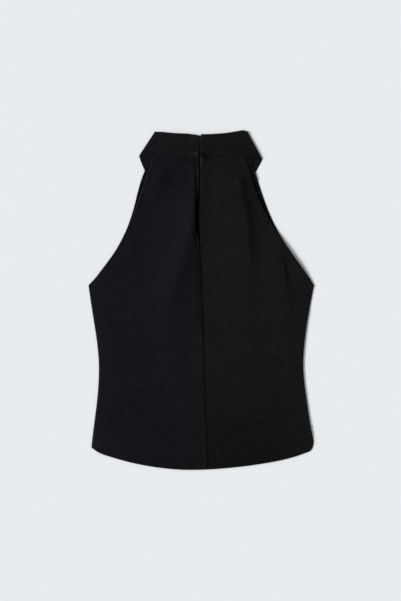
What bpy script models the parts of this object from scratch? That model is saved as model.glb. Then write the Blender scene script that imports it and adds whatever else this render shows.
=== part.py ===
"""A sleeveless halter neck top that lies flat on its front, with its back up.

Its pieces are the front, two back panels joined down the centre back, a fold-over collar that is open at
the centre back, the underlap of the slit below it, and the two hooks and eyes that close it. Sizes are in
millimetres until a mesh is made. +X is the wearer's right, +Y runs from hem to collar, and +Z is up.
"""

import math
from bisect import bisect_right

import bmesh
import bpy
from mathutils import Vector

MM = 0.001

# Cloth and how it is stacked, from the surface it lies on upwards
CLOTH = 1.2  # a panel's thickness
BAND = 1.5  # one layer of the collar
LAYER_GAP = 0.3  # between cloth that lies on cloth
SEAM_GAP = 0.3  # between two sewn edges
LAYER_STEP = BAND + LAYER_GAP
COLLAR_STACK = 4 * BAND + 3 * LAYER_GAP
MID_STACK = COLLAR_STACK / 2

# The collar: a band folded along its top edge, the fall outside and the stand inside
STAND_SHARE = 0.67  # the stand's height over the fall's
FRONT_DIP_Y = 226.0  # the fold at centre front
FRONT_FALL = 42.7  # the fall's height at centre front
FRONT_HANDLES = {"fold": (45.0, 36.0), "edge": (50.0, 50.0)}  # pull of the curve at the side, at the centre
FRONT_NECK_START = 0.135  # where the front panel's neck seam begins, along the front's half curve
COLLAR_SAG = 0.8  # how far the back of the collar sinks between its sides
COLLAR_SLOPE = 9.0  # reach of the cloth that slopes down from the collar to the surface
FRONT_LEAD = 5.0  # how far beyond the collar's free edge the front starts down to the surface
BACK_LEAD = 9.0  # the same for the back, which lies on the front
COLLAR_COLUMNS = ("fold_x", "fold_y", "edge_x", "edge_y")
COLLAR_LEFT = (  # from the centre back out to the side fold
    (-1.3, 286.2, -4.4, 248.0),
    (-22.0, 289.4, -26.0, 248.4),
    (-50.0, 291.0, -60.0, 248.4),
    (-68.0, 293.0, -87.0, 249.2),
    (-80.1, 294.7, -108.8, 251.4),
)
COLLAR_RIGHT = (
    (-0.6, 288.8, -1.7, 248.0),
    (20.0, 289.2, 23.0, 248.4),
    (45.0, 291.4, 54.0, 248.2),
    (66.0, 294.9, 83.0, 247.6),
    (79.8, 295.6, 105.9, 247.2),
)
FRONT_SWEEP = {"left": Vector((0.15, -0.99)), "right": Vector((-0.19, -0.98))}  # past the side fold

# Outline of the body
SIDE_COLUMNS = ("y", "left", "right")
SIDE_SEAM = (
    (-256.0, -190.9, 193.8),
    (-247.0, -190.1, 195.4),
    (-234.0, -188.6, 193.5),
    (-218.0, -186.6, 190.2),
    (-174.0, -181.1, 183.6),
    (-140.0, -178.4, 179.1),
    (-107.0, -178.2, 177.5),
    (-70.0, -181.6, 180.2),
    (-35.0, -186.9, 184.9),
    (0.0, -192.4, 191.1),
    (26.0, -196.0, 196.0),
)
ARMHOLE_COLUMNS = ("y", "front_left", "back_left", "front_right", "back_right")
ARMHOLE = (
    (26.0, -196.0, -196.0, 196.0, 196.0),
    (38.0, -184.8, -184.8, 188.9, 188.9),
    (52.0, -173.9, -173.9, 179.2, 179.2),
    (87.0, -148.8, -148.5, 154.4, 154.0),
    (122.0, -130.6, -129.7, 132.7, 130.7),
    (156.0, -118.7, -116.0, 116.6, 110.2),
    (191.0, -109.7, -102.8, 104.0, 94.8),
    (208.0, -104.8, -97.0, 98.7, 89.5),
    (225.0, -98.4, -91.2, 92.9, 84.5),
    (247.0, -90.0, -84.9, 84.7, 78.6),
    (263.0, -84.0, -80.2, 79.0, 74.3),
)
HEM_COLUMNS = ("x", "y")
HEM = (
    (-190.9, -256.0),
    (-179.0, -264.4),
    (-158.0, -272.2),
    (-106.0, -285.7),
    (-44.0, -294.1),
    (0.0, -294.6),
    (42.0, -292.0),
    (97.0, -285.5),
    (151.0, -275.0),
    (180.0, -265.8),
    (189.5, -261.7),
    (193.8, -256.0),
)
FRONT_HEM_INSET = 1.0  # the front's hem stays just inside the back's

# The centre back, from hem to neck: the right panel's edge, how far the left edge stands off it, and how
# far the underlap reaches past the left edge
CENTRE_COLUMNS = ("y", "right_edge", "opening", "underlap")
CENTRE_BACK = (
    (-296.0, 11.2, 0.3, 0.0),
    (-240.0, 9.2, 0.3, 0.0),
    (-191.0, 6.9, 0.3, 0.0),
    (-140.0, 5.4, 0.3, 0.0),
    (-87.0, 4.9, 0.3, 0.0),
    (-34.0, 3.4, 0.3, 0.0),
    (18.0, 1.1, 0.3, 0.0),
    (65.0, -0.8, 0.3, 0.0),
    (95.0, -1.9, 0.7, 0.0),
    (108.0, -1.9, 3.4, 0.0),
    (118.0, -2.2, 7.2, 0.0),
    (125.0, -2.3, 8.4, 0.0),
    (168.0, -2.8, 8.0, 0.4),
    (178.0, -2.5, 8.3, 3.6),
    (192.0, -2.3, 8.5, 4.8),
    (206.0, -2.3, 8.5, 8.0),
    (216.0, -2.3, 8.5, 9.9),
    (248.0, -2.3, 8.5, 10.2),
    (264.0, -2.5, 8.3, 10.2),
)
UNDERLAP_FROM = 168.0
UNDERLAP_TO = 249.0
UNDERLAP_CLOTH = 1.0
UNDERLAP_TUCK = 2.2  # how far it lies under the left panel
UNDERLAP_GAP = 0.45
SLIT_LIFT = 1.3  # how far the slit's edges stand up to make room for it
SLIT_LIFT_REACH = 16.0
SLIT_LIFT_START = (88.0, 130.0)
SLIT_LIFT_END = (231.0, 245.0)

# Largest folds of the back: a crest through three points, its height, and how far each flank reaches
FOLD_COLUMNS = ("x0", "y0", "x1", "y1", "x2", "y2", "height", "left_flank", "right_flank")
FOLDS = (
    (-8.0, 208.0, -26.0, 95.0, -64.0, -80.0, 4.6, 40.0, 17.0),
    (63.0, 228.0, 80.0, 120.0, 88.0, 10.0, 2.8, 44.0, 12.0),
    (136.0, 84.0, 146.0, 22.0, 158.0, -58.0, 1.1, 20.0, 9.0),
    (-84.0, 226.0, -76.0, 190.0, -84.0, 150.0, 0.8, 14.0, 14.0),
)
FOLD_FADE = 0.45  # share of a fold's length over which it fades in and out
LOFT = 0.7  # how far the back lies off the front where nothing holds it down
SIDE_TAPER = 26.0  # reach of the flattened cloth beside the side seams and armholes
HEM_TAPER = 40.0
NECK_TAPER = 16.0
NECK_HOLD_Y = 246.0  # the collar's fall holds the panels down above this

# Rows and columns of the cloth's facets
HEM_TO_PIT_ROWS = 16
PIT_TO_NECK_ROWS = 20
BACK_COLUMNS_ACROSS = 15
FRONT_COLUMNS_ACROSS = 24
SIDE_FOLD_STEPS = 4
FALL_STEPS = 3
STAND_STEPS = 2
TOP_FOLD_STEPS = 3

# Hooks and eyes, of round wire, under the collar's stand at the centre back
WIRE_RADIUS = 0.3
WIRE_SPREAD = 0.45  # half the distance between the hook's two wires
HOOK_CLEARANCE = 0.8  # from the hook's upper run to the eye's bar, between their middles
SEWING_LOOP_RADIUS = 1.5
SEWING_LOOP_STEPS = 7
SEWING_LOOP_TURN = math.radians(285)
FASTENING_X = -1.6
FASTENING_HEIGHTS = {"top": 278.5, "bottom": 255.0}

BLACK_CREPE = ("black_crepe_knit", (0.0080, 0.0078, 0.0090, 1.0), 0.85, 0.0)
BLACK_BAND = ("black_crepe_band", (0.0080, 0.0078, 0.0090, 1.0), 0.85, 0.0)
BLACK_WIRE = ("black_enamelled_wire", (0.02, 0.02, 0.02, 1.0), 0.35, 1.0)


def smoothstep(low, high, value):
    """Rise smoothly from 0 at low to 1 at high."""
    t = min(max((value - low) / (high - low), 0.0), 1.0)
    return t * t * (3 - 2 * t)


def smooth_column(rows, columns, along, across):
    """Return a function that reads one column of a table smoothly between its rows."""
    at = [row[columns.index(along)] for row in rows]
    value = [row[columns.index(across)] for row in rows]
    steps = [(value[i + 1] - value[i]) / (at[i + 1] - at[i]) for i in range(len(at) - 1)]
    slopes = [steps[0]] + [(a + b) / 2 for a, b in zip(steps, steps[1:])] + [steps[-1]]

    def read(position):
        i = min(max(bisect_right(at, position) - 1, 0), len(steps) - 1)
        width = at[i + 1] - at[i]
        t = min(max((position - at[i]) / width, 0.0), 1.0)
        start = (2 * t**3 - 3 * t**2 + 1) * value[i] + (t**3 - 2 * t**2 + t) * width * slopes[i]
        end = (3 * t**2 - 2 * t**3) * value[i + 1] + (t**3 - t**2) * width * slopes[i + 1]
        return start + end

    return read


hem_y = smooth_column(HEM, HEM_COLUMNS, "x", "y")
centre_x = smooth_column(CENTRE_BACK, CENTRE_COLUMNS, "y", "right_edge")
opening_column = smooth_column(CENTRE_BACK, CENTRE_COLUMNS, "y", "opening")
underlap_width = smooth_column(CENTRE_BACK, CENTRE_COLUMNS, "y", "underlap")
side_x = {side: smooth_column(SIDE_SEAM, SIDE_COLUMNS, "y", side) for side in ("left", "right")}
armhole_x = {name: smooth_column(ARMHOLE, ARMHOLE_COLUMNS, "y", name) for name in ARMHOLE_COLUMNS[1:]}
pit_y = SIDE_SEAM[-1][0]


def opening_width(y):
    """Distance between the two edges along the centre back: a seam, and the slit above it."""
    return max(opening_column(y), SEAM_GAP)


def outline_x(panel, side, y):
    """Outer edge of the front or the back at a height, side seam below the pit and armhole above it."""
    if y <= pit_y:
        return side_x[side](y)
    return armhole_x[f"{panel}_{side}"](y)


def bezier(points, t):
    """Point on a cubic curve."""
    a, b, c, d = points
    s = 1 - t
    return a * s**3 + b * (3 * s * s * t) + c * (3 * s * t * t) + d * t**3


def side_fold(side):
    """The side fold's two ends, at the top edge and at the wing tip, and its outward direction."""
    fold_x, fold_y, edge_x, edge_y = (COLLAR_LEFT if side == "left" else COLLAR_RIGHT)[-1]
    top = Vector((fold_x, fold_y))
    tip = Vector((edge_x, edge_y))
    along = (tip - top).normalized()
    outward = Vector((along.y, -along.x))
    if outward.x * top.x < 0:
        outward = -outward
    return top - outward * MID_STACK, tip - outward * MID_STACK, outward


def front_curves(side):
    """Half of the collar's front: its fold and its free edge, from the side fold to the centre front."""
    top, tip, _ = side_fold(side)
    sign = math.copysign(1, top.x)
    curves = []
    for start, name, middle_y in ((top, "fold", FRONT_DIP_Y), (tip, "edge", FRONT_DIP_Y - FRONT_FALL)):
        side_pull, centre_pull = FRONT_HANDLES[name]
        middle = Vector((0.0, middle_y))
        pulled = middle + Vector((sign * centre_pull, 0.0))
        curves.append((start, start + FRONT_SWEEP[side] * side_pull, pulled, middle))
    return curves


def front_neck_shares():
    """Places of the front panel's columns along half of the collar's front, side first."""
    half_columns = FRONT_COLUMNS_ACROSS // 2
    return [FRONT_NECK_START + (1 - FRONT_NECK_START) * i / half_columns for i in range(half_columns + 1)]


def front_line(share):
    """A line round the collar's front, from the left side fold to the right one.

    share is 0 for the fold and 1 for the free edge.
    """
    points = []
    steps = 24
    for side in ("left", "right"):
        fold, edge = front_curves(side)
        half = [bezier(fold, i / steps).lerp(bezier(edge, i / steps), share) for i in range(steps + 1)]
        points += half if side == "left" else half[-2::-1]
    return points


FRONT_FOLD_LINE = front_line(0.0)
FRONT_EDGE_LINE = front_line(1.0)


def beyond(line, x, y):
    """Distance from a line round the front: positive outside and below it, negative inside."""
    point = Vector((x, y))
    nearest = math.inf
    for a, b in zip(line, line[1:]):
        along = b - a
        t = min(max((point - a).dot(along) / along.length_squared, 0.0), 1.0)
        nearest = min(nearest, (point - a - along * t).length)
    i = min(max(bisect_right([p.x for p in line], x), 1), len(line) - 1)
    a, b = line[i - 1], line[i]
    height = a.y + (b.y - a.y) * (x - a.x) / (b.x - a.x) if b.x != a.x else a.y
    inside = line[0].x < x < line[-1].x and y > height
    return -nearest if inside else nearest


def collar_cover(x, y, lead):
    """1 over the collar's front and lead beyond it, falling to 0 where the cloth reaches the surface."""
    return 1 - smoothstep(lead, lead + COLLAR_SLOPE, beyond(FRONT_EDGE_LINE, x, y))


def collar_sag(x, y):
    """How far the back sinks inside the neck, where no front lies under it."""
    return COLLAR_SAG * smoothstep(2.0, 24.0, -beyond(FRONT_FOLD_LINE, x, y))


def front_rest(x, y):
    """Height of the front panel's underside."""
    return LAYER_STEP * collar_cover(x, y, FRONT_LEAD)


def back_rest(x, y):
    """Height of the back's underside where it lies as low as it can."""
    below = CLOTH + (2 * LAYER_STEP - CLOTH - LAYER_GAP) * collar_cover(x, y, BACK_LEAD)
    return below + LAYER_GAP - collar_sag(x, y)


def fold_height(fold, x, y):
    """Height that one fold gives to a point."""
    row = dict(zip(FOLD_COLUMNS, fold))
    start = Vector((row["x0"], row["y0"]))
    middle = Vector((row["x1"], row["y1"]))
    end = Vector((row["x2"], row["y2"]))
    control = middle * 2 - (start + end) / 2
    point = Vector((x, y))
    steps = 16
    shares = [i / steps for i in range(steps + 1)]
    crest = [start.lerp(control, t).lerp(control.lerp(end, t), t) for t in shares]
    distances = [(point - p).length for p in crest]
    nearest = distances.index(min(distances))
    i = min(max(nearest, 1), steps - 1)
    along = (crest[i + 1] - crest[i - 1]).normalized()
    offset = point - crest[i]
    across = along.x * offset.y - along.y * offset.x
    share = (i + offset.dot(along) / (crest[i + 1] - crest[i - 1]).length * 2) / steps
    flank = row["left_flank"] if across < 0 else row["right_flank"]
    fade = smoothstep(0.0, FOLD_FADE, share) * (1 - smoothstep(1 - FOLD_FADE, 1.0, share))
    return row["height"] * fade * math.exp(-((across / flank) ** 2))


def slit_lift(x, y):
    """How far the cloth beside the slit stands up over the underlap."""
    aside = max(x - centre_x(y), centre_x(y) - opening_width(y) - x, 0.0)
    along = smoothstep(*SLIT_LIFT_START, y) * (1 - smoothstep(*SLIT_LIFT_END, y))
    return SLIT_LIFT * along * math.exp(-((aside / SLIT_LIFT_REACH) ** 2))


def back_relief(x, y):
    """How far the back stands off where it could rest: a little loft, the folds and the slit's edges."""
    held = smoothstep(0, SIDE_TAPER, x - outline_x("back", "left", y))
    held *= smoothstep(0, SIDE_TAPER, outline_x("back", "right", y) - x)
    held *= smoothstep(0, HEM_TAPER, y - hem_y(x))
    held *= smoothstep(0, NECK_TAPER, NECK_HOLD_Y - y)
    return held * (LOFT + sum(fold_height(fold, x, y) for fold in FOLDS)) + slit_lift(x, y)


def back_under(x, y):
    """Height of the back panels' underside."""
    return back_rest(x, y) + back_relief(x, y)


def patch(left, right, bottom, top):
    """Grid of points between four edges that meet at their ends, as rows from the bottom up."""
    height = left[-1].y - left[0].y
    grid = []
    for j, (a, b) in enumerate(zip(left, right)):
        v = (a.y - left[0].y) / height
        row = []
        for i, (low, high) in enumerate(zip(bottom, top)):
            u = i / (len(bottom) - 1)
            corners = bottom[0].lerp(bottom[-1], u).lerp(top[0].lerp(top[-1], u), v)
            row.append(low.lerp(high, v) + a.lerp(b, u) - corners)
        grid.append(row)
    return grid


def heights(low, high):
    """Heights of the rows of a panel: even from hem to pit, and again from pit to neck."""
    below = [low + (pit_y - low) * j / HEM_TO_PIT_ROWS for j in range(HEM_TO_PIT_ROWS)]
    above = [pit_y + (high - pit_y) * j / PIT_TO_NECK_ROWS for j in range(PIT_TO_NECK_ROWS + 1)]
    return below + above


def collar_rows(side):
    """The back collar's rows as pairs of points, fold and free edge, the last one on the side fold's axis."""
    rows = COLLAR_LEFT if side == "left" else COLLAR_RIGHT
    pairs = [(Vector(row[:2]), Vector(row[2:])) for row in rows[:-1]]
    top, tip, _ = side_fold(side)
    return pairs + [(top, tip)]


def back_neck_y(x):
    """Height of the back panels' neck edge, just below the stand."""
    left = [fold.lerp(edge, STAND_SHARE) for fold, edge in collar_rows("left")]
    right = [fold.lerp(edge, STAND_SHARE) for fold, edge in collar_rows("right")]
    points = sorted(left + right, key=lambda p: p.x)
    i = min(max(bisect_right([p.x for p in points], x), 1), len(points) - 1)
    a, b = points[i - 1], points[i]
    return a.y + (b.y - a.y) * (x - a.x) / (b.x - a.x) - SEAM_GAP


def centre_edge_x(side, y):
    """Edge of a back panel along the centre back."""
    return centre_x(y) - (opening_width(y) if side == "left" else 0.0)


def centre_heights(side):
    """Heights of a back panel's rows along the centre back."""
    low = hem_y(centre_edge_x(side, CENTRE_BACK[0][0]))
    return heights(low, back_neck_y(centre_edge_x(side, CENTRE_BACK[-1][0])))


def back_grid(side):
    """The outline and inner points of one back panel."""
    outer_top = back_neck_y(armhole_x[f"back_{side}"](ARMHOLE[-1][0]))
    outer = [Vector((outline_x("back", side, y), y)) for y in heights(SIDE_SEAM[0][0], outer_top)]
    inner = [Vector((centre_edge_x(side, y), y)) for y in centre_heights(side)]
    left, right = (outer, inner) if side == "left" else (inner, outer)
    bottom = []
    top = []
    for i in range(BACK_COLUMNS_ACROSS + 1):
        u = i / BACK_COLUMNS_ACROSS
        x = left[0].x + (right[0].x - left[0].x) * u
        bottom.append(Vector((x, hem_y(x))))
        x = left[-1].x + (right[-1].x - left[-1].x) * u
        top.append(Vector((x, back_neck_y(x))))
    for edge, at in ((bottom, 0), (top, -1)):
        edge[0] = left[at]
        edge[-1] = right[at]
    return patch(left, right, bottom, top)


def front_grid():
    """The front panel: its neck edge follows the collar's front, below the stand."""
    neck = []
    for side in ("left", "right"):
        fold, edge = front_curves(side)
        half = []
        for t in front_neck_shares():
            seam = bezier(fold, t).lerp(bezier(edge, t), STAND_SHARE)
            half.append(seam + (bezier(edge, t) - bezier(fold, t)).normalized() * SEAM_GAP)
        neck += half if side == "left" else half[-2::-1]
    sides = []
    for side, end in (("left", neck[0]), ("right", neck[-1])):
        edge = [Vector((outline_x("front", side, y), y)) for y in heights(SIDE_SEAM[0][0], end.y)]
        edge[-1] = end
        sides.append(edge)
    bottom = []
    for i in range(FRONT_COLUMNS_ACROSS + 1):
        x = sides[0][0].x + (sides[1][0].x - sides[0][0].x) * i / FRONT_COLUMNS_ACROSS
        bottom.append(Vector((x, hem_y(x) + FRONT_HEM_INSET)))
    bottom[0] = sides[0][0]
    bottom[-1] = sides[1][0]
    return patch(sides[0], sides[1], bottom, neck)


def underlap_grid():
    """A narrow strip under the left edge of the slit, which stops short of the lower hook and eye."""
    grid = []
    between = [y for y in centre_heights("left") if UNDERLAP_FROM < y < UNDERLAP_TO]
    for y in [UNDERLAP_FROM] + between + [UNDERLAP_TO]:
        edge = centre_x(y) - opening_width(y)
        left = Vector((edge - UNDERLAP_TUCK, y))
        right = Vector((edge + underlap_width(y), y))
        grid.append([left, left.lerp(right, 0.5), right])
    return grid


def underlap_under(x, y):
    """Height of the underlap's underside: it hangs just under the panels."""
    return back_under(x, y) - UNDERLAP_GAP - UNDERLAP_CLOTH


def material(spec):
    """Make a material, or find the one that another piece made."""
    name, colour, roughness, metallic = spec
    made = bpy.data.materials.get(name)
    if made:
        return made
    made = bpy.data.materials.new(name)
    made.use_nodes = True
    shader = made.node_tree.nodes["Principled BSDF"]
    shader.inputs["Base Color"].default_value = colour
    shader.inputs["Roughness"].default_value = roughness
    shader.inputs["Metallic"].default_value = metallic
    return made


def add_mesh(name, points, faces, finish):
    """Add a closed mesh, given in millimetres, as an object in metres."""
    mesh = bpy.data.meshes.new(name)
    mesh.from_pydata([Vector(p) * MM for p in points], [], faces)
    mesh.materials.append(material(finish))
    work = bmesh.new()
    work.from_mesh(mesh)
    bmesh.ops.recalc_face_normals(work, faces=work.faces)
    work.to_mesh(mesh)
    work.free()
    mesh.shade_smooth()
    mesh.set_sharp_from_angle(angle=math.radians(40))
    piece = bpy.data.objects.new(name, mesh)
    bpy.context.scene.collection.objects.link(piece)
    return piece


def add_panel(name, grid, under, thickness, finish):
    """Turn a grid of points into a wall of cloth that stands on the height that under gives."""
    rows = len(grid)
    across = len(grid[0])
    low = [(p.x, p.y, under(p.x, p.y)) for row in grid for p in row]
    points = low + [(x, y, z + thickness) for x, y, z in low]
    count = rows * across
    faces = []
    for j in range(rows - 1):
        for i in range(across - 1):
            a = j * across + i
            quad = (a, a + 1, a + across + 1, a + across)
            faces.append(tuple(count + k for k in quad))
            faces.append(quad[::-1])
    rim = list(range(across)) + [j * across + across - 1 for j in range(1, rows)]
    rim += [count - 1 - i for i in range(1, across)] + [j * across for j in range(rows - 2, 0, -1)]
    for a, b in zip(rim, rim[1:] + rim[:1]):
        faces.append((a, b, count + b, count + a))
    return add_mesh(name, points, faces, finish)


def band_profile(length):
    """Section of the folded band, as (distance below the fold, layer height) round its outline."""
    radius = LAYER_STEP / 2
    start = radius + BAND / 2
    stand = length * STAND_SHARE
    middle = [(length + (start - length) * i / FALL_STEPS, radius, 0.0, 1.0) for i in range(FALL_STEPS)]
    for i in range(TOP_FOLD_STEPS + 1):
        turn = math.pi / 2 - math.pi * i / TOP_FOLD_STEPS
        out, up = math.cos(turn), math.sin(turn)
        middle.append((start - radius * out, radius * up, -out, up))
    for i in range(1, STAND_STEPS + 1):
        middle.append((start + (stand - start) * i / STAND_STEPS, -radius, 0.0, -1.0))
    outer = [(s + n * BAND / 2, h + m * BAND / 2) for s, h, n, m in middle]
    inner = [(s - n * BAND / 2, h - m * BAND / 2) for s, h, n, m in middle]
    return outer + inner[::-1]


def collar_stations():
    """Where the band stands along its length: fold point, edge point, turn about the side fold, outward."""
    stations = []
    for side in ("left", "right"):
        top, tip, outward = side_fold(side)
        half = [(fold, edge, 0.0, outward) for fold, edge in collar_rows(side)]
        half += [(top, tip, math.pi * i / SIDE_FOLD_STEPS, outward) for i in range(1, SIDE_FOLD_STEPS + 1)]
        fold, edge = front_curves(side)
        for t in [FRONT_NECK_START / 2] + front_neck_shares():
            half.append((bezier(fold, t), bezier(edge, t), math.pi, outward))
        stations += half if side == "left" else half[-2::-1]
    return stations


def add_collar(finish):
    """The collar: the folded section swept from centre back round the front to centre back."""
    points = []
    for fold, edge, turn, outward in collar_stations():
        down = (edge - fold).normalized()
        for s, layer in band_profile((edge - fold).length):
            reach = layer + LAYER_STEP
            place = fold + down * s + outward * (reach * math.sin(turn))
            sag = collar_sag(place.x, place.y) * (1 + math.cos(turn)) / 2
            points.append((place.x, place.y, MID_STACK - sag + reach * math.cos(turn)))
    section = len(band_profile(FRONT_FALL))
    faces = []
    for k in range(len(points) // section - 1):
        for i in range(section):
            a = k * section + i
            b = k * section + (i + 1) % section
            faces.append((a, b, b + section, a + section))
    half = section // 2
    for start in (0, len(points) - section):
        for i in range(half - 1):
            faces.append(tuple(start + j for j in (i, i + 1, section - 2 - i, section - 1 - i)))
    return add_mesh("collar", points, faces, finish)


def sewing_loop(centre, entry_angle, turn):
    """Points of a ring for sewing down, from its open end to where the wire runs on."""
    points = []
    for i in range(SEWING_LOOP_STEPS + 1):
        angle = entry_angle + turn * (1 - i / SEWING_LOOP_STEPS)
        x = centre[0] + SEWING_LOOP_RADIUS * math.cos(angle)
        y = centre[1] + SEWING_LOOP_RADIUS * math.sin(angle)
        points.append((x, y, 0.0))
    return points


def mirrored(half):
    """A wire's half and its mirror image, run together from end to end."""
    return half + [(x, -y, z) for x, y, z in half[::-1]]


def hook_wire():
    """A hook that points to -X, its bill folded under."""
    ring = sewing_loop((7.4, WIRE_SPREAD + SEWING_LOOP_RADIUS), -math.pi / 2, SEWING_LOOP_TURN)
    low = -2 * HOOK_CLEARANCE
    half = ring + [
        (0.2, WIRE_SPREAD, 0.0),
        (-0.6, WIRE_SPREAD, -0.3),
        (-0.9, WIRE_SPREAD, -HOOK_CLEARANCE),
        (-0.6, WIRE_SPREAD, low + 0.3),
        (0.2, WIRE_SPREAD, low),
        (2.6, WIRE_SPREAD, low),
        (3.1, 0.2, low),
    ]
    return mirrored(half)


def eye_wire():
    """An eye whose bar stands at +X of its sewing loops, under the hook's upper run."""
    ring = sewing_loop((-7.6, 2.2 + SEWING_LOOP_RADIUS), -math.pi / 2, -SEWING_LOOP_TURN)
    half = ring + [
        (-4.2, 2.4, -0.1),
        (-1.4, 2.5, -0.6),
        (0.1, 2.1, -HOOK_CLEARANCE),
        (0.6, 1.2, -HOOK_CLEARANCE),
    ]
    return mirrored(half)


def add_wire(name, wire, y):
    """Lay a wire under the stand at the centre back, as a round tube with filled ends."""
    rest = back_under(FASTENING_X, y) - LAYER_GAP - WIRE_RADIUS
    curve = bpy.data.curves.new(name, "CURVE")
    curve.dimensions = "3D"
    curve.bevel_depth = WIRE_RADIUS * MM
    curve.bevel_resolution = 1
    curve.use_fill_caps = True
    spline = curve.splines.new("POLY")
    spline.points.add(len(wire) - 1)
    for point, (dx, dy, dz) in zip(spline.points, wire):
        point.co = ((FASTENING_X + dx) * MM, (y + dy) * MM, (rest + dz) * MM, 1.0)
    curve.materials.append(material(BLACK_WIRE))
    piece = bpy.data.objects.new(name, curve)
    bpy.context.scene.collection.objects.link(piece)
    return piece


def main():
    """Clear the file and add every piece."""
    for old in list(bpy.data.objects):
        bpy.data.objects.remove(old)
    add_panel("front", front_grid(), front_rest, CLOTH, BLACK_CREPE)
    add_panel("back_left", back_grid("left"), back_under, CLOTH, BLACK_CREPE)
    add_panel("back_right", back_grid("right"), back_under, CLOTH, BLACK_CREPE)
    add_panel("underlap", underlap_grid(), underlap_under, UNDERLAP_CLOTH, BLACK_CREPE)
    add_collar(BLACK_BAND)
    for place, y in FASTENING_HEIGHTS.items():
        add_wire(f"hook_{place}", hook_wire(), y)
        add_wire(f"eye_{place}", eye_wire(), y)


main()
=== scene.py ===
"""A sleeveless halter neck top in black crepe knit that lies flat on its front, with its back up.

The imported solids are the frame. Each piece of cloth is a thin closed shell on its solid's form, with the
rolled edges, turned allowances, creases and sewing that the solid leaves out. The hooks and eyes keep their
solids and get a finish. Lengths are in millimetres until a mesh is made. +X is the wearer's right, +Y runs
from hem to collar and +Z is up, from 0 at the surface that the top lies on.
"""

import logging
import math
from dataclasses import dataclass
from enum import Enum
from functools import cached_property
from typing import Sequence

import bpy
import numpy as np
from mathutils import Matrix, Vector


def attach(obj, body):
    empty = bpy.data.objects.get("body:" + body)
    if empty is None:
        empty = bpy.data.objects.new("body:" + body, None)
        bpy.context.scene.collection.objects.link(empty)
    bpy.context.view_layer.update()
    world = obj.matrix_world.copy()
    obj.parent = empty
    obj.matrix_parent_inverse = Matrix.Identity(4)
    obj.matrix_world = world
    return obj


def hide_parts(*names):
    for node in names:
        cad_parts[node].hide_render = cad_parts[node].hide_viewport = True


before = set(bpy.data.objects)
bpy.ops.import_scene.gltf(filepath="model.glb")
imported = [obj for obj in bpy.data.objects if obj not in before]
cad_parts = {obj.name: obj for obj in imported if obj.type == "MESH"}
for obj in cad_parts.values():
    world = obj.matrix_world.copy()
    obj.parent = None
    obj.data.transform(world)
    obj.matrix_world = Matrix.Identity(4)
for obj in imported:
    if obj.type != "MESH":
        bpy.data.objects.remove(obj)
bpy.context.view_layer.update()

Array = np.ndarray
Point = tuple[float, float]
Span = tuple[float, float, float]  # where a stretch starts, where it ends, and how far it fades beyond both

MM = 0.001
BODY = "root"
CUT_MAP = "cut"  # UV map of a piece of cloth: its place on the flat cut, in metres
# The tone attribute holds the dye's tint together with painted light and shade.
TONE = "tone"  # attribute of a piece of cloth: how much lighter or darker its dye reads there

log = logging.getLogger("halter_top")


# ---- Sizes ----


class Side(Enum):
    """A side of the top, as it is seen from behind."""

    LEFT = "left"
    RIGHT = "right"

    @property
    def sign(self) -> float:
        """-1 on the left and 1 on the right."""
        return -1.0 if self is Side.LEFT else 1.0


class Layer(Enum):
    """A layer of the body."""

    FRONT = "front"
    BACK = "back"


def smoothstep(low: float, high: float, value: Array) -> Array:
    """Rise smoothly from 0 at a low value to 1 at a high one."""
    t = np.clip((np.asarray(value) - low) / (high - low), 0.0, 1.0)
    return t * t * (3.0 - 2.0 * t)


def between(start: float, end: float, fade: float, value: Array) -> Array:
    """Be 1 from start to end, and fade to 0 over the same distance on both sides."""
    return smoothstep(start - fade, start, value) * (1.0 - smoothstep(end, end + fade, value))


FAR = 400.0  # mm, beyond the top on every side
WHOLE: Span = (-FAR, FAR, 1.0)


def unit(vectors: Array) -> Array:
    """Bring vectors to length 1."""
    return vectors / np.maximum(np.linalg.norm(vectors, axis=-1, keepdims=True), 1e-9)


def at_height(plan: Array, height: Array) -> Array:
    """Give points of a plan their heights."""
    return np.concatenate([plan, height[..., None]], axis=-1)


def rise_past(end: float, reach: Point, y: Array) -> Array:
    """Rise from 0 below the end of a seam to 1 above it, over a reach that is measured from there."""
    return smoothstep(end + reach[0], end + reach[1], y)


def bell(away: Array, reach: Array | float) -> Array:
    """Fall off on both sides of a place, from 1 there to about a third at the reach."""
    return np.exp(-((away / reach) ** 2))


@dataclass(frozen=True)
class SmoothLine:
    """A measure that changes smoothly between given stations.

    Attributes:
        at: The stations.
        value: The measure at each station.
    """

    at: tuple[float, ...]
    value: tuple[float, ...]

    def __call__(self, position: Array | float) -> Array:
        """Read the measure.

        Args:
            position: Places between the first and the last station.

        Returns:
            The measure at each place.
        """
        at = np.asarray(self.at)
        value = np.asarray(self.value)
        steps = np.diff(value) / np.diff(at)
        slopes = np.concatenate([steps[:1], (steps[:-1] + steps[1:]) / 2, steps[-1:]])
        i = np.clip(np.searchsorted(at, position, side="right") - 1, 0, len(steps) - 1)
        width = at[i + 1] - at[i]
        t = np.clip((position - at[i]) / width, 0.0, 1.0)
        start = (2 * t**3 - 3 * t**2 + 1) * value[i] + (t**3 - 2 * t**2 + t) * width * slopes[i]
        end = (3 * t**2 - 2 * t**3) * value[i + 1] + (t**3 - t**2) * width * slopes[i + 1]
        return start + end


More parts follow.
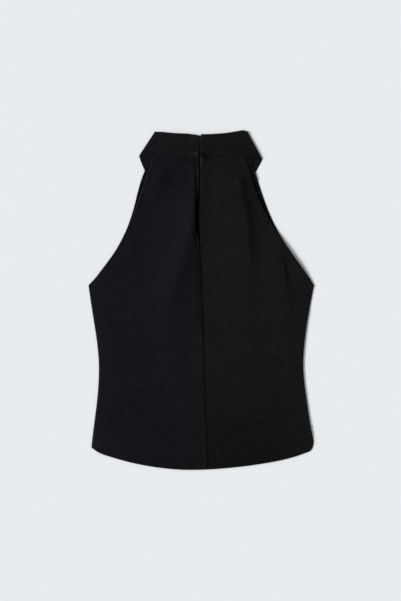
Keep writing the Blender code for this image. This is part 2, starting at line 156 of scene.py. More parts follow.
def nearest_on(line: Array, points: Array) -> tuple[Array, Array, Array]:
    """Measure points from a line.

    Args:
        line: The line's points in order.
        points: The points to measure.

    Returns:
        Each point's distance, the side that it is on (1 on the line's left and -1 on its right), and the
        share of the line at which it is nearest.
    """
    nearest = np.full(points.shape[:-1], np.inf)
    side = np.zeros_like(nearest)
    share = np.zeros_like(nearest)
    for i, (a, b) in enumerate(zip(line, line[1:])):
        along = b - a
        offset = points - a
        place = np.clip((offset @ along) / (along @ along), 0.0, 1.0)
        distance = np.linalg.norm(offset - place[..., None] * along, axis=-1)
        closer = distance < nearest
        turn = np.sign(along[0] * offset[..., 1] - along[1] * offset[..., 0])
        nearest = np.where(closer, distance, nearest)
        side = np.where(closer, turn, side)
        share = np.where(closer, (i + place) / (len(line) - 1), share)
    return nearest, side, share


@dataclass(frozen=True)
class Table:
    """Rows of sizes under named columns.

    Attributes:
        columns: The columns' names.
        rows: One tuple of sizes for each station.
    """

    columns: tuple[str, ...]
    rows: tuple[tuple[float, ...], ...]

    def column(self, name: str) -> tuple[float, ...]:
        """Return one column's sizes."""
        return tuple(row[self.columns.index(name)] for row in self.rows)

    def line(self, along: str, across: str) -> SmoothLine:
        """Return one column as a smooth line along another."""
        return SmoothLine(self.column(along), self.column(across))


@dataclass(frozen=True)
class Outline:
    """Plan of the body: its side seams, armholes, hem and centre back.

    Attributes:
        side_seam: Where the side seams run, from the hem to the pit of the arm.
        armhole: Each layer's armhole edges, from the pit to the neck.
        hem: The back's lower edge.
        centre_back: The right panel's edge, and how far the left one stands off it.
        slit_foot_y: Height at which the seam of the centre back ends and the slit starts.
        front_hem_inset: How far the front's hem stays inside the back's.
        seam_gap: What is left between two sewn edges.
    """

    side_seam: Table = Table(
        ("y", "left", "right"),
        (
            (-256, -190.9, 193.8), (-247, -190.1, 195.4), (-234, -188.6, 193.5),
            (-218, -186.6, 190.2), (-174, -181.1, 183.6), (-140, -178.4, 179.1),
            (-107, -178.2, 177.5), (-70, -181.6, 180.2), (-35, -186.9, 184.9), (0, -192.4, 191.1),
            (26, -196, 196),
        ),
    )
    armhole: Table = Table(
        ("y", "front_left", "back_left", "front_right", "back_right"),
        (
            (26, -196, -196, 196, 196), (38, -184.8, -184.8, 188.9, 188.9),
            (52, -173.9, -173.9, 179.2, 179.2), (87, -148.8, -148.5, 154.4, 154),
            (122, -130.6, -129.7, 132.7, 130.7), (156, -118.7, -116, 116.6, 110.2),
            (191, -109.7, -102.8, 104, 94.8), (208, -104.8, -97, 98.7, 89.5),
            (225, -98.4, -91.2, 92.9, 84.5), (247, -90, -84.9, 84.7, 78.6),
            (263, -84, -80.2, 79, 74.3),
        ),
    )
    hem: Table = Table(
        ("x", "y"),
        (
            (-190.9, -256), (-179, -264.4), (-158, -272.2), (-106, -285.7), (-44, -294.1),
            (0, -294.6), (42, -292), (97, -285.5), (151, -275), (180, -265.8), (189.5, -261.7),
            (193.8, -256),
        ),
    )
    centre_back: Table = Table(
        ("y", "right_edge", "opening"),
        (
            (-296, 11.2, 0), (-240, 9.2, 0), (-191, 6.9, 0), (-140, 5.4, 0), (-87, 4.9, 0),
            (-34, 3.4, 0), (18, 1.1, 0), (65, -0.8, 0), (95, -1.9, 0.6), (108, -1.9, 2.9),
            (118, -2.2, 5.4), (126, -2.3, 7.4), (136, -2.4, 8.3), (168, -2.8, 8), (178, -2.5, 8.3),
            (192, -2.3, 8.5), (248, -2.3, 8.5), (264, -2.5, 8.3),
        ),
    )
    slit_foot_y: float = 95.0
    front_hem_inset: float = 1.0
    seam_gap: float = 0.06

    @cached_property
    def hem_line(self) -> SmoothLine:
        """The back's hem, as y along x."""
        return self.hem.line("x", "y")

    @cached_property
    def centre_line(self) -> SmoothLine:
        """The right back panel's centre edge, as x along y."""
        return self.centre_back.line("y", "right_edge")

    @cached_property
    def opening_line(self) -> SmoothLine:
        """The opening between the two back panels along y."""
        return self.centre_back.line("y", "opening")

    @property
    def pit_y(self) -> float:
        """Height of the pit of the arm."""
        return self.side_seam.column("y")[-1]

    @property
    def side_foot_y(self) -> float:
        """Height of the lower ends of the side seams."""
        return self.side_seam.column("y")[0]

    @property
    def lowest_y(self) -> float:
        """Height of the hem's lowest place."""
        return min(self.hem.column("y"))

    def opening(self, y: Array) -> Array:
        """Distance between the two centre back edges at a height."""
        return np.maximum(self.opening_line(y), self.seam_gap)

    def outer_x(self, layer: Layer, side: Side, y: Array) -> Array:
        """Outer edge of a layer at a height: x of the side seam, or of the armhole above the pit."""
        seam = self.side_seam.line("y", side.value)(y)
        armhole = self.armhole.line("y", f"{layer.value}_{side.value}")(y)
        return np.where(np.asarray(y) <= self.pit_y, seam, armhole)

    def centre_edge_x(self, side: Side, y: Array) -> Array:
        """Centre edge of a back panel at a height."""
        return self.centre_line(y) - (self.opening(y) if side is Side.LEFT else 0.0)

    def above_hem(self, points: Array) -> Array:
        """Distance of points from the back's hem, square to it."""
        x = points[..., 0]
        return (points[..., 1] - self.hem_line(x)) / self.hem_slant(x)

    def hem_slant(self, x: Array) -> Array:
        """How much longer a step up the body is than the same step square to the hem."""
        slope = (self.hem_line(x + 1.0) - self.hem_line(x - 1.0)) / 2.0
        return np.sqrt(1.0 + slope**2)


@dataclass(frozen=True)
class Stack:
    """Thicknesses of the layers, from the surface that they lie on upwards.

    Attributes:
        cloth: A body panel's space in the stack.
        band: One layer of the collar.
        gap: What is left between two layers.
    """

    cloth: float = 1.2
    band: float = 1.5
    gap: float = 0.3

    @property
    def step(self) -> float:
        """From one layer of the collar to the next."""
        return self.band + self.gap

    @property
    def middle(self) -> float:
        """Height of the middle of the collar's four layers."""
        return (4 * self.band + 3 * self.gap) / 2


@dataclass(frozen=True)
class CollarPlan:
    """Plan of the collar, a band folded along its top edge: the fall outside, the stand inside.

    Attributes:
        left: The back's left half, from the centre back out to the side fold.
        right: The back's right half.
        stand_share: The stand's height over the fall's.
        front_dip_y: Height of the fold at centre front.
        front_fall: The fall's height at centre front.
        fold_pull: How far the fold's curve is drawn along its ends, at the side and at the centre.
        edge_pull: The same for the free edge.
        left_sweep: Direction in which both curves leave the left side fold.
        right_sweep: The same for the right side fold.
        neck_start: Where the front panel's neck seam begins along the front's half curve.
        wing_bulge: How far the tips' front layers stand out, left and right.
        wing_drop: How far down they go for each step outward.
        wing_reach: Share of the front's half curve over which they do.
        front_points: Points that trace one half of the front.
        back_points: Points that trace one half of the back.
        stack: Thicknesses of the layers.
    """

    left: Table = Table(
        ("fold_x", "fold_y", "edge_x", "edge_y"),
        (
            (-1.3, 286.2, -4.4, 248), (-22, 289.4, -26, 248.4), (-50, 291, -60, 248.4),
            (-68, 293, -87, 249.2), (-80.1, 294.7, -108.8, 251.4),
        ),
    )
    right: Table = Table(
        ("fold_x", "fold_y", "edge_x", "edge_y"),
        (
            (-0.6, 288.8, -1.7, 248), (20, 289.2, 23, 248.4), (45, 291.4, 54, 248.2),
            (66, 295.1, 83, 247.6), (74, 295.9, 96.3, 247.4), (79.8, 295.6, 105.9, 247.2),
        ),
    )
    stand_share: float = 0.67
    front_dip_y: float = 226.0
    front_fall: float = 42.7
    fold_pull: Point = (45.0, 36.0)
    edge_pull: Point = (50.0, 50.0)
    left_sweep: Point = (0.15, -0.99)
    right_sweep: Point = (-0.19, -0.98)
    neck_start: float = 0.135
    wing_bulge: Point = (1.3, 3.0)
    wing_drop: float = 0.25
    wing_reach: float = 0.07
    front_points: int = 41
    back_points: int = 25
    stack: Stack = Stack()

    def rows(self, side: Side) -> Table:
        """Return one half of the collar's back."""
        return self.left if side is Side.LEFT else self.right

    def side_fold(self, side: Side) -> tuple[Array, Array, Array]:
        """Find the line that the band turns about at the side.

        Args:
            side: Left or right.

        Returns:
            Its top end, its lower end, and the direction out of the collar.
        """
        fold_x, fold_y, edge_x, edge_y = self.rows(side).rows[-1]
        top = np.array([fold_x, fold_y])
        tip = np.array([edge_x, edge_y])
        along = unit(tip - top)
        outward = np.array([along[1], -along[0]])
        if outward[0] * side.sign < 0:
            outward = -outward
        return top - outward * self.stack.middle, tip - outward * self.stack.middle, outward

    def bulge(self, side: Side, share: Array) -> Array:
        """Step that takes a tip's front layers outward, for shares of the front's half curve."""
        size = self.wing_bulge[0 if side is Side.LEFT else 1]
        return size * bell(share, self.wing_reach)[..., None] * np.array([side.sign, -self.wing_drop])

    def back_lines(self, side: Side, share: Array) -> tuple[Array, Array]:
        """Read the back's fold and free edge.

        Args:
            side: Left or right.
            share: 0 at the centre back and 1 at the side fold.

        Returns:
            Points on the fold, and points on the free edge.
        """
        rows = np.array(self.rows(side).rows)
        top, tip, _ = self.side_fold(side)
        rows[-1] = [*top, *tip]
        at = tuple(i / (len(rows) - 1) for i in range(len(rows)))
        read = [SmoothLine(at, tuple(column))(share) for column in rows.T]
        return np.stack(read[:2], axis=-1), np.stack(read[2:], axis=-1)

    def front_lines(self, side: Side, share: Array) -> tuple[Array, Array]:
        """Read the front's fold and free edge.

        Args:
            side: Left or right.
            share: 0 at the side fold and 1 at the centre front.

        Returns:
            Points on the fold, and points on the free edge.
        """
        top, tip, _ = self.side_fold(side)
        sweep = np.array(self.left_sweep if side is Side.LEFT else self.right_sweep)
        t = np.asarray(share)[..., None]
        lines = []
        for start, pull, middle_y in (
            (top, self.fold_pull, self.front_dip_y),
            (tip, self.edge_pull, self.front_dip_y - self.front_fall),
        ):
            middle = np.array([0.0, middle_y])
            near = start + sweep * pull[0]
            far = middle + np.array([side.sign * pull[1], 0.0])
            line = start * (1 - t) ** 3 + near * 3 * (1 - t) ** 2 * t
            lines.append(line + far * 3 * (1 - t) * t**2 + middle * t**3)
        return lines[0], lines[1] + self.bulge(side, np.asarray(share))

    def front_line(self, edge: bool) -> Array:
        """Points round the whole front in the order of x, on the free edge or on the fold."""
        share = np.linspace(0.0, 1.0, self.front_points)
        left = self.front_lines(Side.LEFT, share)[int(edge)]
        right = self.front_lines(Side.RIGHT, share)[int(edge)]
        return np.concatenate([left, right[-2::-1]])

    @staticmethod
    def beyond(line: Array, points: Array) -> Array:
        """Distance of points from a line round the front.

        Args:
            line: Points in the order of x.
            points: The points to measure.

        Returns:
            Distances, positive outside and below the line and negative inside the neck.
        """
        nearest, _, _ = nearest_on(line, points)
        x = points[..., 0]
        height = np.interp(x, line[:, 0], line[:, 1])
        inside = (x > line[0, 0]) & (x < line[-1, 0]) & (points[..., 1] > height)
        return np.where(inside, -nearest, nearest)

    def back_neck_y(self, x: Array, gap: float) -> Array:
        """Height of the back panels' neck edge.

        Args:
            x: Places across the back.
            gap: What is left between the panel and the stand.

        Returns:
            The height at each place.
        """
        share = np.linspace(0.0, 1.0, self.back_points)
        seams = []
        for side in Side:
            fold, edge = self.back_lines(side, share)
            seams.append(fold + (edge - fold) * self.stand_share)
        points = np.concatenate(seams)
        order = np.argsort(points[:, 0])
        return np.interp(x, points[order, 0], points[order, 1]) - gap


@dataclass(frozen=True)
class Crease:
    """A soft ridge or trough of the cloth along a smooth line.

    Attributes:
        points: The line's points.
        height: Height of a ridge, below 0 for a trough.
        left: How far the flank on the line's left reaches.
        right: How far the flank on its right reaches.
        fade: Share of its length over which it fades in at its start and out at its end.
        sharp: 2 for a round top, down to 1 for a sharp one.
        rounding: Radius to which the top is rounded off, at the start and further on.
        rounding_grows: Shares of its length between which that radius changes.
    """

    points: tuple[Point, ...]
    height: float
    left: float
    right: float
    fade: Point = (0.3, 0.4)
    sharp: float = 2.0
    rounding: Point = (0.0, 0.0)
    rounding_grows: Point = (0.2, 0.5)

    @cached_property
    def line(self) -> Array:
        """The smooth line through the points."""
        at = tuple(float(i) for i in range(len(self.points)))
        along = np.linspace(0.0, at[-1], 8 * (len(at) - 1) + 1)
        return np.stack([SmoothLine(at, column)(along) for column in zip(*self.points)], axis=-1)

    def lift(self, points: Array) -> Array:
        """Height that the crease gives to points.

        Args:
            points: Places on the cloth.

        Returns:
            The height at each place.
        """
        distance, side, share = nearest_on(self.line, points)
        flank = np.where(side > 0, self.left, self.right)
        first, last = self.rounding
        radius = first + (last - first) * smoothstep(*self.rounding_grows, share)
        distance = np.hypot(distance, radius) - radius
        height = self.height * np.exp(-((distance / flank) ** self.sharp))
        if self.fade[0]:
            height = height * smoothstep(0.0, self.fade[0], share)
        if self.fade[1]:
            height = height * (1.0 - smoothstep(1.0 - self.fade[1], 1.0, share))
        return height


@dataclass(frozen=True)
class Ripple:
    """Slight unevenness of cloth that lies loose, as crossed waves.

    Attributes:
        height: Half the height from trough to crest.
        lengths: Wavelengths of the crossed waves.
        turns: Direction of each wave, in degrees from +X.
        phase: How much further each wave has run than the one before, in radians.
    """

    height: float
    lengths: tuple[float, ...] = (71.0, 53.0, 37.0)
    turns: tuple[float, ...] = (12.0, 75.0, 131.0)
    phase: float = 1.7

    def lift(self, points: Array) -> Array:
        """Height that the waves give to points."""
        total = np.zeros(points.shape[:-1])
        for i, (length, turn) in enumerate(zip(self.lengths, self.turns)):
            angle = math.radians(turn)
            along = points[..., 0] * math.cos(angle) + points[..., 1] * math.sin(angle)
            total += np.sin(2 * math.pi * along / length + self.phase * i)
        return self.height * total / len(self.lengths)


WAVERS = ((1.0, 1.0, 0.0), (0.7, 0.618, 1.3), (0.5, 1.73, 4.1))  # share, rate and phase of each waver


def uneven(along: Array, length: float) -> Array:
    """Waver between -1 and 1 along a seam, never twice the same, each waver about a length long."""
    turn = 2 * math.pi * np.asarray(along) / length
    total = sum(share * np.sin(turn * rate + phase) for share, rate, phase in WAVERS)
    return total / sum(share for share, _, _ in WAVERS)


@dataclass(frozen=True)
class Lay:
    """How the layers lie on each other: heights of each layer's underside.

    Attributes:
        outline: The body's plan.
        collar: The collar's plan.
        stack: Thicknesses of the layers.
        front_lead: How far beyond the collar's free edge the front starts down to the surface.
        front_slope: Over what reach it comes down.
        back_lead: The same for the back, which lies on the front.
        back_slope: Over what reach the back comes down.
        sag: How far the back sinks inside the neck, where no front lies under it.
        sag_reach: Distances inside the neck between which it sinks.
        loft: How far the back lies off the front where nothing holds it down.
        side_taper: Over what reach a side seam holds it down.
        hem_taper: Over what reach the hem does.
        neck_taper: Over what reach the collar does.
        neck_hold_y: Height at which the collar holds it down.
        creases: The back's ridges and troughs.
        edge_lofts: Places where an edge of the back stands off, such as the right armhole.
        pressed: Lines along which the whole stack is pressed flat, as shares of its height.
        ripple: The back's slight unevenness.
        slit_lift: How far the slit's right edge stands up.
        slit_reach: Over what reach beside it the cloth comes down.
        strip_lift: How far its left edge stands up beside the underlap.
        strip_reach: Over what reach beside it.
        strip_from: Heights between which the underlap comes to lift it.
        slit_dip: How far its left edge rolls down below that.
        dip_reach: Over what reach beside it.
        slit_rise: Heights between which the lift starts and is whole.
        slit_fall: Heights between which it ends under the collar.
    """

    outline: Outline = Outline()
    collar: CollarPlan = CollarPlan()
    stack: Stack = Stack()
    front_lead: float = 5.0
    front_slope: float = 9.0
    back_lead: float = 4.0
    back_slope: float = 40.0
    sag: float = 0.8
    sag_reach: Point = (2.0, 24.0)
    loft: float = 0.7
    side_taper: float = 26.0
    hem_taper: float = 40.0
    neck_taper: float = 16.0
    neck_hold_y: float = 246.0
    creases: tuple[Crease, ...] = (
        Crease(
            ((-5.5, 208), (-10.5, 185), (-14.2, 163), (-16.8, 140), (-18.8, 115), (-23.5, 88),
             (-30, 69), (-37.5, 52), (-44, 33), (-51, 14), (-57, -6), (-63, -48),
             (-72, -112)),
            3.8, left=13, right=21.5, fade=(0.24, 0.45), sharp=1.4, rounding=(0.3, 4.5),
        ),
        Crease(((-30, 150), (-38, 60), (-58, -30), (-70, -130)), 2.4, left=34, right=62),
        Crease(
            ((64, 222), (68, 195), (72, 169), (78, 141), (82, 113), (84.5, 60),
             (84.5, 16)),
            3.7, left=10.5, right=46, fade=(0.2, 0.4), sharp=1.6,
        ),
        Crease(
            ((131, 96), (137, 74), (142, 52), (148, 24), (154, -5), (152, -60)),
            1.5, left=8, right=26, fade=(0.3, 0.5), sharp=1.6,
        ),
        Crease(
            ((-66, 243), (-68, 215), (-73, 185), (-82, 140)),
            1.1, left=13, right=34, fade=(0.2, 0.6), sharp=1.7,
        ),
        Crease(((-54, 240), (-55, 215), (-59, 182), (-65, 150)), -0.9, left=15, right=15),
        Crease(((-10.4, 122), (-10, 110), (-8.8, 98), (-7.2, 84)), -0.7, left=2.3, right=2.6,
               fade=(0.1, 0.4), sharp=3),
        Crease(((-118, -60), (-126, -140), (-120, -230)), 0.7, left=30, right=36),
        Crease(((112, -70), (96, -140), (104, -225)), 0.7, left=34, right=40),
    )
    edge_lofts: tuple[Crease, ...] = (
        Crease(((192, 36), (177, 58), (156, 87), (139, 112), (127, 136)), 2.3,
               left=20, right=20, fade=(0.35, 0.5)),
        Crease(((24.9, -253), (24.4, -264), (24.2, -278)), -0.5, left=1.7, right=1.7, fade=(0.2, 0.25)),
    )
    pressed: tuple[Crease, ...] = (
        Crease(((80, 298), (106, 247)), -0.5, left=30, right=30, fade=(0, 0)),
        Crease(((-80, 298), (-109, 251)), -0.45, left=30, right=30, fade=(0, 0)),
        Crease(((193, -225), (197, -268)), -0.5, left=34, right=34, fade=(0.6, 0)),
        Crease(((200, 40), (198, -30)), -0.4, left=26, right=26, fade=(0.4, 0.4)),
        Crease(((-200, 40), (-198, -30)), -0.3, left=26, right=26, fade=(0.4, 0.4)),
    )
    ripple: Ripple = Ripple(0.12)
    slit_lift: float = 0.8
    slit_reach: float = 14.0
    strip_lift: float = 0.5
    strip_reach: float = 9.0
    strip_from: Point = (150.0, 178.0)
    slit_dip: float = 0.3
    dip_reach: float = 8.0
    slit_rise: Point = (88.0, 130.0)
    slit_fall: Point = (231.0, 245.0)

    @cached_property
    def front_edge(self) -> Array:
        """The collar's free edge round the front."""
        return self.collar.front_line(edge=True)

    @cached_property
    def front_fold(self) -> Array:
        """The collar's fold round the front."""
        return self.collar.front_line(edge=False)

    def cover(self, points: Array, lead: float, slope: float) -> Array:
        """Be 1 where the collar's front lifts the cloth, to a lead beyond it, and fade over a slope."""
        return 1.0 - smoothstep(lead, lead + slope, self.collar.beyond(self.front_edge, points))

    def neck_sag(self, points: Array) -> Array:
        """How far the back sinks inside the neck."""
        return self.sag * smoothstep(*self.sag_reach, -self.collar.beyond(self.front_fold, points))

    def front_under(self, points: Array) -> Array:
        """Height of the front's underside."""
        return self.stack.step * self.cover(points, self.front_lead, self.front_slope)

    def held(self, points: Array) -> Array:
        """How free the back is to stand off: 0 at its side seams, hem and collar, and 1 away from them."""
        x, y = points[..., 0], points[..., 1]
        free = np.ones(points.shape[:-1])
        for side in Side:
            away = (self.outline.outer_x(Layer.BACK, side, y) - x) * side.sign
            free = free * smoothstep(0.0, self.side_taper, away)
        free = free * smoothstep(0.0, self.hem_taper, y - self.outline.hem_line(x))
        return free * smoothstep(0.0, self.neck_taper, self.neck_hold_y - y)

    def slit_stand(self, points: Array) -> Array:
        """How far the cloth beside the slit stands up, or rolls down where it is below 0."""
        x, y = points[..., 0], points[..., 1]
        opening = self.outline.opening(y)
        right = np.maximum(x - self.outline.centre_line(y), 0.0)
        past = x - self.outline.centre_edge_x(Side.LEFT, y)
        across = np.clip(past / opening, 0.0, 1.0)
        left = np.maximum(-past, 0.0)
        beside_strip = smoothstep(*self.strip_from, y)
        left_rise = self.strip_lift * beside_strip * bell(left, self.strip_reach)
        left_dip = self.slit_dip * (1.0 - beside_strip) * bell(left, self.dip_reach)
        right_rise = self.slit_lift * bell(right, self.slit_reach)
        along = smoothstep(*self.slit_rise, y) * (1.0 - smoothstep(*self.slit_fall, y))
        return along * ((left_rise - left_dip) * (1.0 - across) + right_rise * across)

    def back_under(self, points: Array) -> Array:
        """Height of the back's underside."""
        stack = self.stack
        raised = 2 * stack.step - stack.cloth - stack.gap
        rest = stack.cloth + stack.gap + raised * self.cover(points, self.back_lead, self.back_slope)
        loose = self.loft + sum(crease.lift(points) for crease in self.creases)
        loose = loose + self.ripple.lift(points)
        edges = sum(crease.lift(points) for crease in self.edge_lofts)
        return rest - self.neck_sag(points) + self.held(points) * loose + self.slit_stand(points) + edges

    def press(self, points: Array) -> Array:
        """Share of its height that the whole stack keeps."""
        return 1.0 + sum(crease.lift(points) for crease in self.pressed)


# ---- Finishes ----


def linear(code: str) -> tuple[float, float, float, float]:
    """Turn an sRGB colour of six hex digits into linear light, with an alpha of 1."""
    parts = [int(code[i : i + 2], 16) / 255.0 for i in (0, 2, 4)]
    lit = [p / 12.92 if p <= 0.04045 else ((p + 0.055) / 1.055) ** 2.4 for p in parts]
    return (*lit, 1.0)


NOISE_SPAN = {"From_Min": 0.3, "From_Max": 0.7}  # where nearly all values of a noise texture lie


def add_node(
    tree: bpy.types.NodeTree, kind: str, settings: dict | None = None, **inputs: object
) -> bpy.types.Node:
    """Add a node to a material's or a geometry tree.

    Args:
        tree: The tree.
        kind: The node's type, by its full name.
        settings: The node's own properties.
        **inputs: A socket's value, or the output to link to it, by the socket's name with _ for a space, or
            by i and its number.

    Returns:
        The node.
    """
    node = tree.nodes.new(kind)
    for name, value in (settings or {}).items():
        setattr(node, name, value)
    for name, value in inputs.items():
        numbered = name[0] == "i" and name[1:].isdigit()
        socket = node.inputs[int(name[1:])] if numbered else node.inputs[name.replace("_", " ")]
        if isinstance(value, bpy.types.NodeSocket):
            tree.links.new(value, socket)
        else:
            socket.default_value = value
    return node


def new_material(name: str) -> tuple[bpy.types.Material, bpy.types.Node]:
    """Start a material, and return it and its shader."""
    material = bpy.data.materials.new(name)
    material.use_nodes = True
    return material, material.node_tree.nodes["Principled BSDF"]


@dataclass(frozen=True)
class CrepeKnit:
    """Polyester crepe double knit, piece dyed black and heat set.

    Hard-twisted yarn gives a dry, pebbly face that scatters what little light the dye leaves, with a faint
    gloss on the slopes that face the light. No shine, no nap.

    Attributes:
        name: The material's name.
        dye: Its colour.
        gloss: Specular level of the yarn.
        roughness: Roughness of the face.
        roughness_spread: How far it differs from patch to patch.
        pebble_mm: Size of a pebble of the crepe. The real 0.4 mm is too fine to show, so it is drawn coarser.
        pebble_depth_mm: Height of the bump that the pebbles give.
        pebble_level: How light the dye reads on top of a pebble and between two.
        mottle_mm: Size of the patches in which the dye took a little more or less.
        mottle: How much they differ.
    """

    name: str
    dye: str
    gloss: float = 0.07
    roughness: float = 0.62
    roughness_spread: float = 0.05
    pebble_mm: float = 0.9
    pebble_depth_mm: float = 0.08
    pebble_level: Point = (1.2, 0.75)
    mottle_mm: float = 11.0
    mottle: float = 0.34

    def make(self) -> bpy.types.Material:
        """Build the material."""
        material, shader = new_material(self.name)
        tree = material.node_tree
        cut = add_node(tree, "ShaderNodeUVMap", {"uv_map": CUT_MAP}).outputs["UV"]
        courses = add_node(tree, "ShaderNodeMapping", Vector=cut, Scale=(1.0, 0.7, 1.0)).outputs["Vector"]
        pebbles = add_node(
            tree, "ShaderNodeTexVoronoi", {"feature": "SMOOTH_F1"}, Vector=courses,
            Scale=1.0 / (self.pebble_mm * MM), Smoothness=0.5,
        ).outputs["Distance"]
        bump = add_node(
            tree, "ShaderNodeBump", Height=pebbles, Distance=self.pebble_depth_mm * MM, Strength=1.0
        )
        patches = add_node(
            tree, "ShaderNodeTexNoise", Vector=cut, Scale=1.0 / (self.mottle_mm * MM), Detail=4.5,
            Roughness=0.74,
        ).outputs["Fac"]
        dye_level = add_node(
            tree, "ShaderNodeMapRange", Value=patches, **NOISE_SPAN, To_Min=1.0 - self.mottle,
            To_Max=1.0 + self.mottle,
        ).outputs[0]
        pebble_level = add_node(
            tree, "ShaderNodeMapRange", Value=pebbles, From_Min=0.0, From_Max=0.8,
            To_Min=self.pebble_level[0], To_Max=self.pebble_level[1],
        ).outputs[0]
        level = add_node(tree, "ShaderNodeMath", {"operation": "MULTIPLY"}, i0=dye_level, i1=pebble_level)
        # The tone attribute scales the dye; it carries the painted light and shade.
        tone = add_node(tree, "ShaderNodeAttribute", {"attribute_name": TONE, "attribute_type": "GEOMETRY"})
        toned = add_node(
            tree, "ShaderNodeVectorMath", {"operation": "MULTIPLY"}, i0=tone.outputs["Color"],
            i1=linear(self.dye)[:3],
        )
        dyed = add_node(
            tree, "ShaderNodeVectorMath", {"operation": "SCALE"}, i0=toned.outputs["Vector"],
            Scale=level.outputs[0],
        )
        rough = add_node(
            tree, "ShaderNodeMapRange", Value=patches, **NOISE_SPAN,
            To_Min=self.roughness - self.roughness_spread, To_Max=self.roughness + self.roughness_spread,
        )
        tree.links.new(dyed.outputs["Vector"], shader.inputs["Base Color"])
        tree.links.new(rough.outputs[0], shader.inputs["Roughness"])
        tree.links.new(bump.outputs["Normal"], shader.inputs["Normal"])
        shader.inputs["Specular IOR Level"].default_value = self.gloss
        return material


@dataclass(frozen=True)
class PlainFinish:
    """A finish with a slight mottle, for what is small or is no cloth.

    Attributes:
        name: The material's name.
        colour: Its colour.
        roughness: Its roughness.
        gloss: Its specular level.
        mottle_mm: Size of the mottle.
        mottle: How much the mottle lightens and darkens.
    """

    name: str
    colour: str
    roughness: float
    gloss: float = 0.5
    mottle_mm: float = 1.0
    mottle: float = 0.1

    def make(self) -> bpy.types.Material:
        """Build the material."""
        material, shader = new_material(self.name)
        tree = material.node_tree
        place = add_node(tree, "ShaderNodeTexCoord").outputs["Object"]
        scale = 1.0 / (self.mottle_mm * MM)
        noise = add_node(tree, "ShaderNodeTexNoise", Vector=place, Scale=scale, Detail=3.0)
        level = add_node(
            tree, "ShaderNodeMapRange", Value=noise.outputs["Fac"], **NOISE_SPAN,
            To_Min=1.0 - self.mottle, To_Max=1.0 + self.mottle,
        )
        tint = add_node(
            tree, "ShaderNodeVectorMath", {"operation": "SCALE"}, i0=linear(self.colour)[:3],
            Scale=level.outputs[0],
        )
        tree.links.new(tint.outputs["Vector"], shader.inputs["Base Color"])
        shader.inputs["Roughness"].default_value = self.roughness
        shader.inputs["Specular IOR Level"].default_value = self.gloss
        return material


@dataclass(frozen=True)
class Wardrobe:
    """All finishes of the top.

    Attributes:
        face: The crepe's right side.
        inside: Its wrong side, a little duller.
        wire: The hooks and eyes, steel wire with black enamel: smooth and dark with soft highlights.
        thread: The sewing thread, spun polyester: dull, a shade lighter than the cloth.
    """

    face: CrepeKnit = CrepeKnit("black_crepe_knit", "101010")
    inside: CrepeKnit = CrepeKnit("black_crepe_wrong_side", "0D0D0D", gloss=0.05, roughness=0.75)
    wire: PlainFinish = PlainFinish("black_enamelled_wire", "0C0C0D", 0.45, 0.25, mottle_mm=0.8)
    thread: PlainFinish = PlainFinish("black_polyester_thread", "161617", 0.6, 0.15, mottle_mm=0.3)

    def make(self) -> list[bpy.types.Material]:
        """Build the materials, in the order above."""
        return [finish.make() for finish in (self.face, self.inside, self.wire, self.thread)]


@dataclass(frozen=True)
class Mark:
    """A soft-edged place painted lighter or darker than the rest, as painted light or shade.

    Attributes:
        x: Its middle along x.
        y: Its middle along y.
        wide: How far it reaches along x.
        high: How far it reaches along y.
        change: Change of level at its middle.
    """

    x: float
    y: float
    wide: float
    high: float
    change: float

    def at(self, points: Array) -> Array:
        """Change of level at the points."""
        away = ((points[..., 0] - self.x) / self.wide) ** 2 + ((points[..., 1] - self.y) / self.high) ** 2
        return self.change * np.exp(-away)


@dataclass(frozen=True)
class Wash:
    """A broad place where the cloth reads lighter or darker, or stands up or sinks.

    Attributes:
        change: Change of level or of height where it is whole.
        x: The stretch across that it takes up.
        y: The stretch up the body that it takes up.
    """

    change: float
    x: Span = WHOLE
    y: Span = WHOLE

    def at(self, x: Array, y: Array) -> Array:
        """Change at places across and up."""
        return self.change * between(*self.y, y) * between(*self.x, x)


@dataclass(frozen=True)
class Band:
    """A narrow band beside an edge, where the cloth stands up or sinks, or reads lighter or darker.

    Attributes:
        change: Change of height or of level in the band's middle.
        middle: Distance of the middle from the edge.
        reach: How far it reaches to both sides of that.
        y: The stretch up the body that it takes up.
        outer_reach: How far it reaches away from the edge, if not as far as towards it.
    """

    change: float
    middle: float
    reach: float
    y: Span = WHOLE
    outer_reach: float | None = None

    def at(self, distance: Array, y: Array) -> Array:
        """Change at distances from the edge and at heights."""
        outer = self.reach if self.outer_reach is None else self.outer_reach
        reach = np.where(distance < self.middle, self.reach, outer)
        return self.change * bell(distance - self.middle, reach) * between(*self.y, y)


def summed(changes: Sequence[Wash | Band], across: Array, y: Array) -> Array:
    """Add up changes at places across and up."""
    return sum((change.at(across, y) for change in changes), np.zeros(np.shape(across)))


@dataclass(frozen=True)
class Dye:
    """How the black reads over the body, a little blue on the left and neutral on the right.

    Attributes:
        blue: Red, green and blue where the tint is whole.
        blue_to_neutral: Places along x between which the tint fades out.
    """

    blue: tuple[float, float, float] = (0.86, 0.79, 1.38)
    blue_to_neutral: Point = (-55.0, 25.0)

    def tone(self, points: Array, level: Array | float = 1.0) -> Array:
        """Colour factors of the dye.

        Args:
            points: Places on the cloth.
            level: How light the dye reads there, with any painted light and shade.

        Returns:
            Red, green and blue factors at each place.
        """
        tint = 1.0 - smoothstep(*self.blue_to_neutral, points[..., 0])
        colour = 1.0 + (np.array(self.blue) - 1.0) * tint[..., None]
        return colour * (np.ones(points.shape[:-1]) * level)[..., None]


# ---- Cloth ----


@dataclass(frozen=True)
class Border:
    """How one border of a grid of cloth is finished. Each measure is one value, or one per station along it.

    Attributes:
        radius: Reach of the rounding.
        roll: 0 for a free edge, 1 where the face rolls down into a seam, and -1 where the underside rolls up
            to one.
    """

    radius: Array | float = 0.65
    roll: Array | float = 0.0


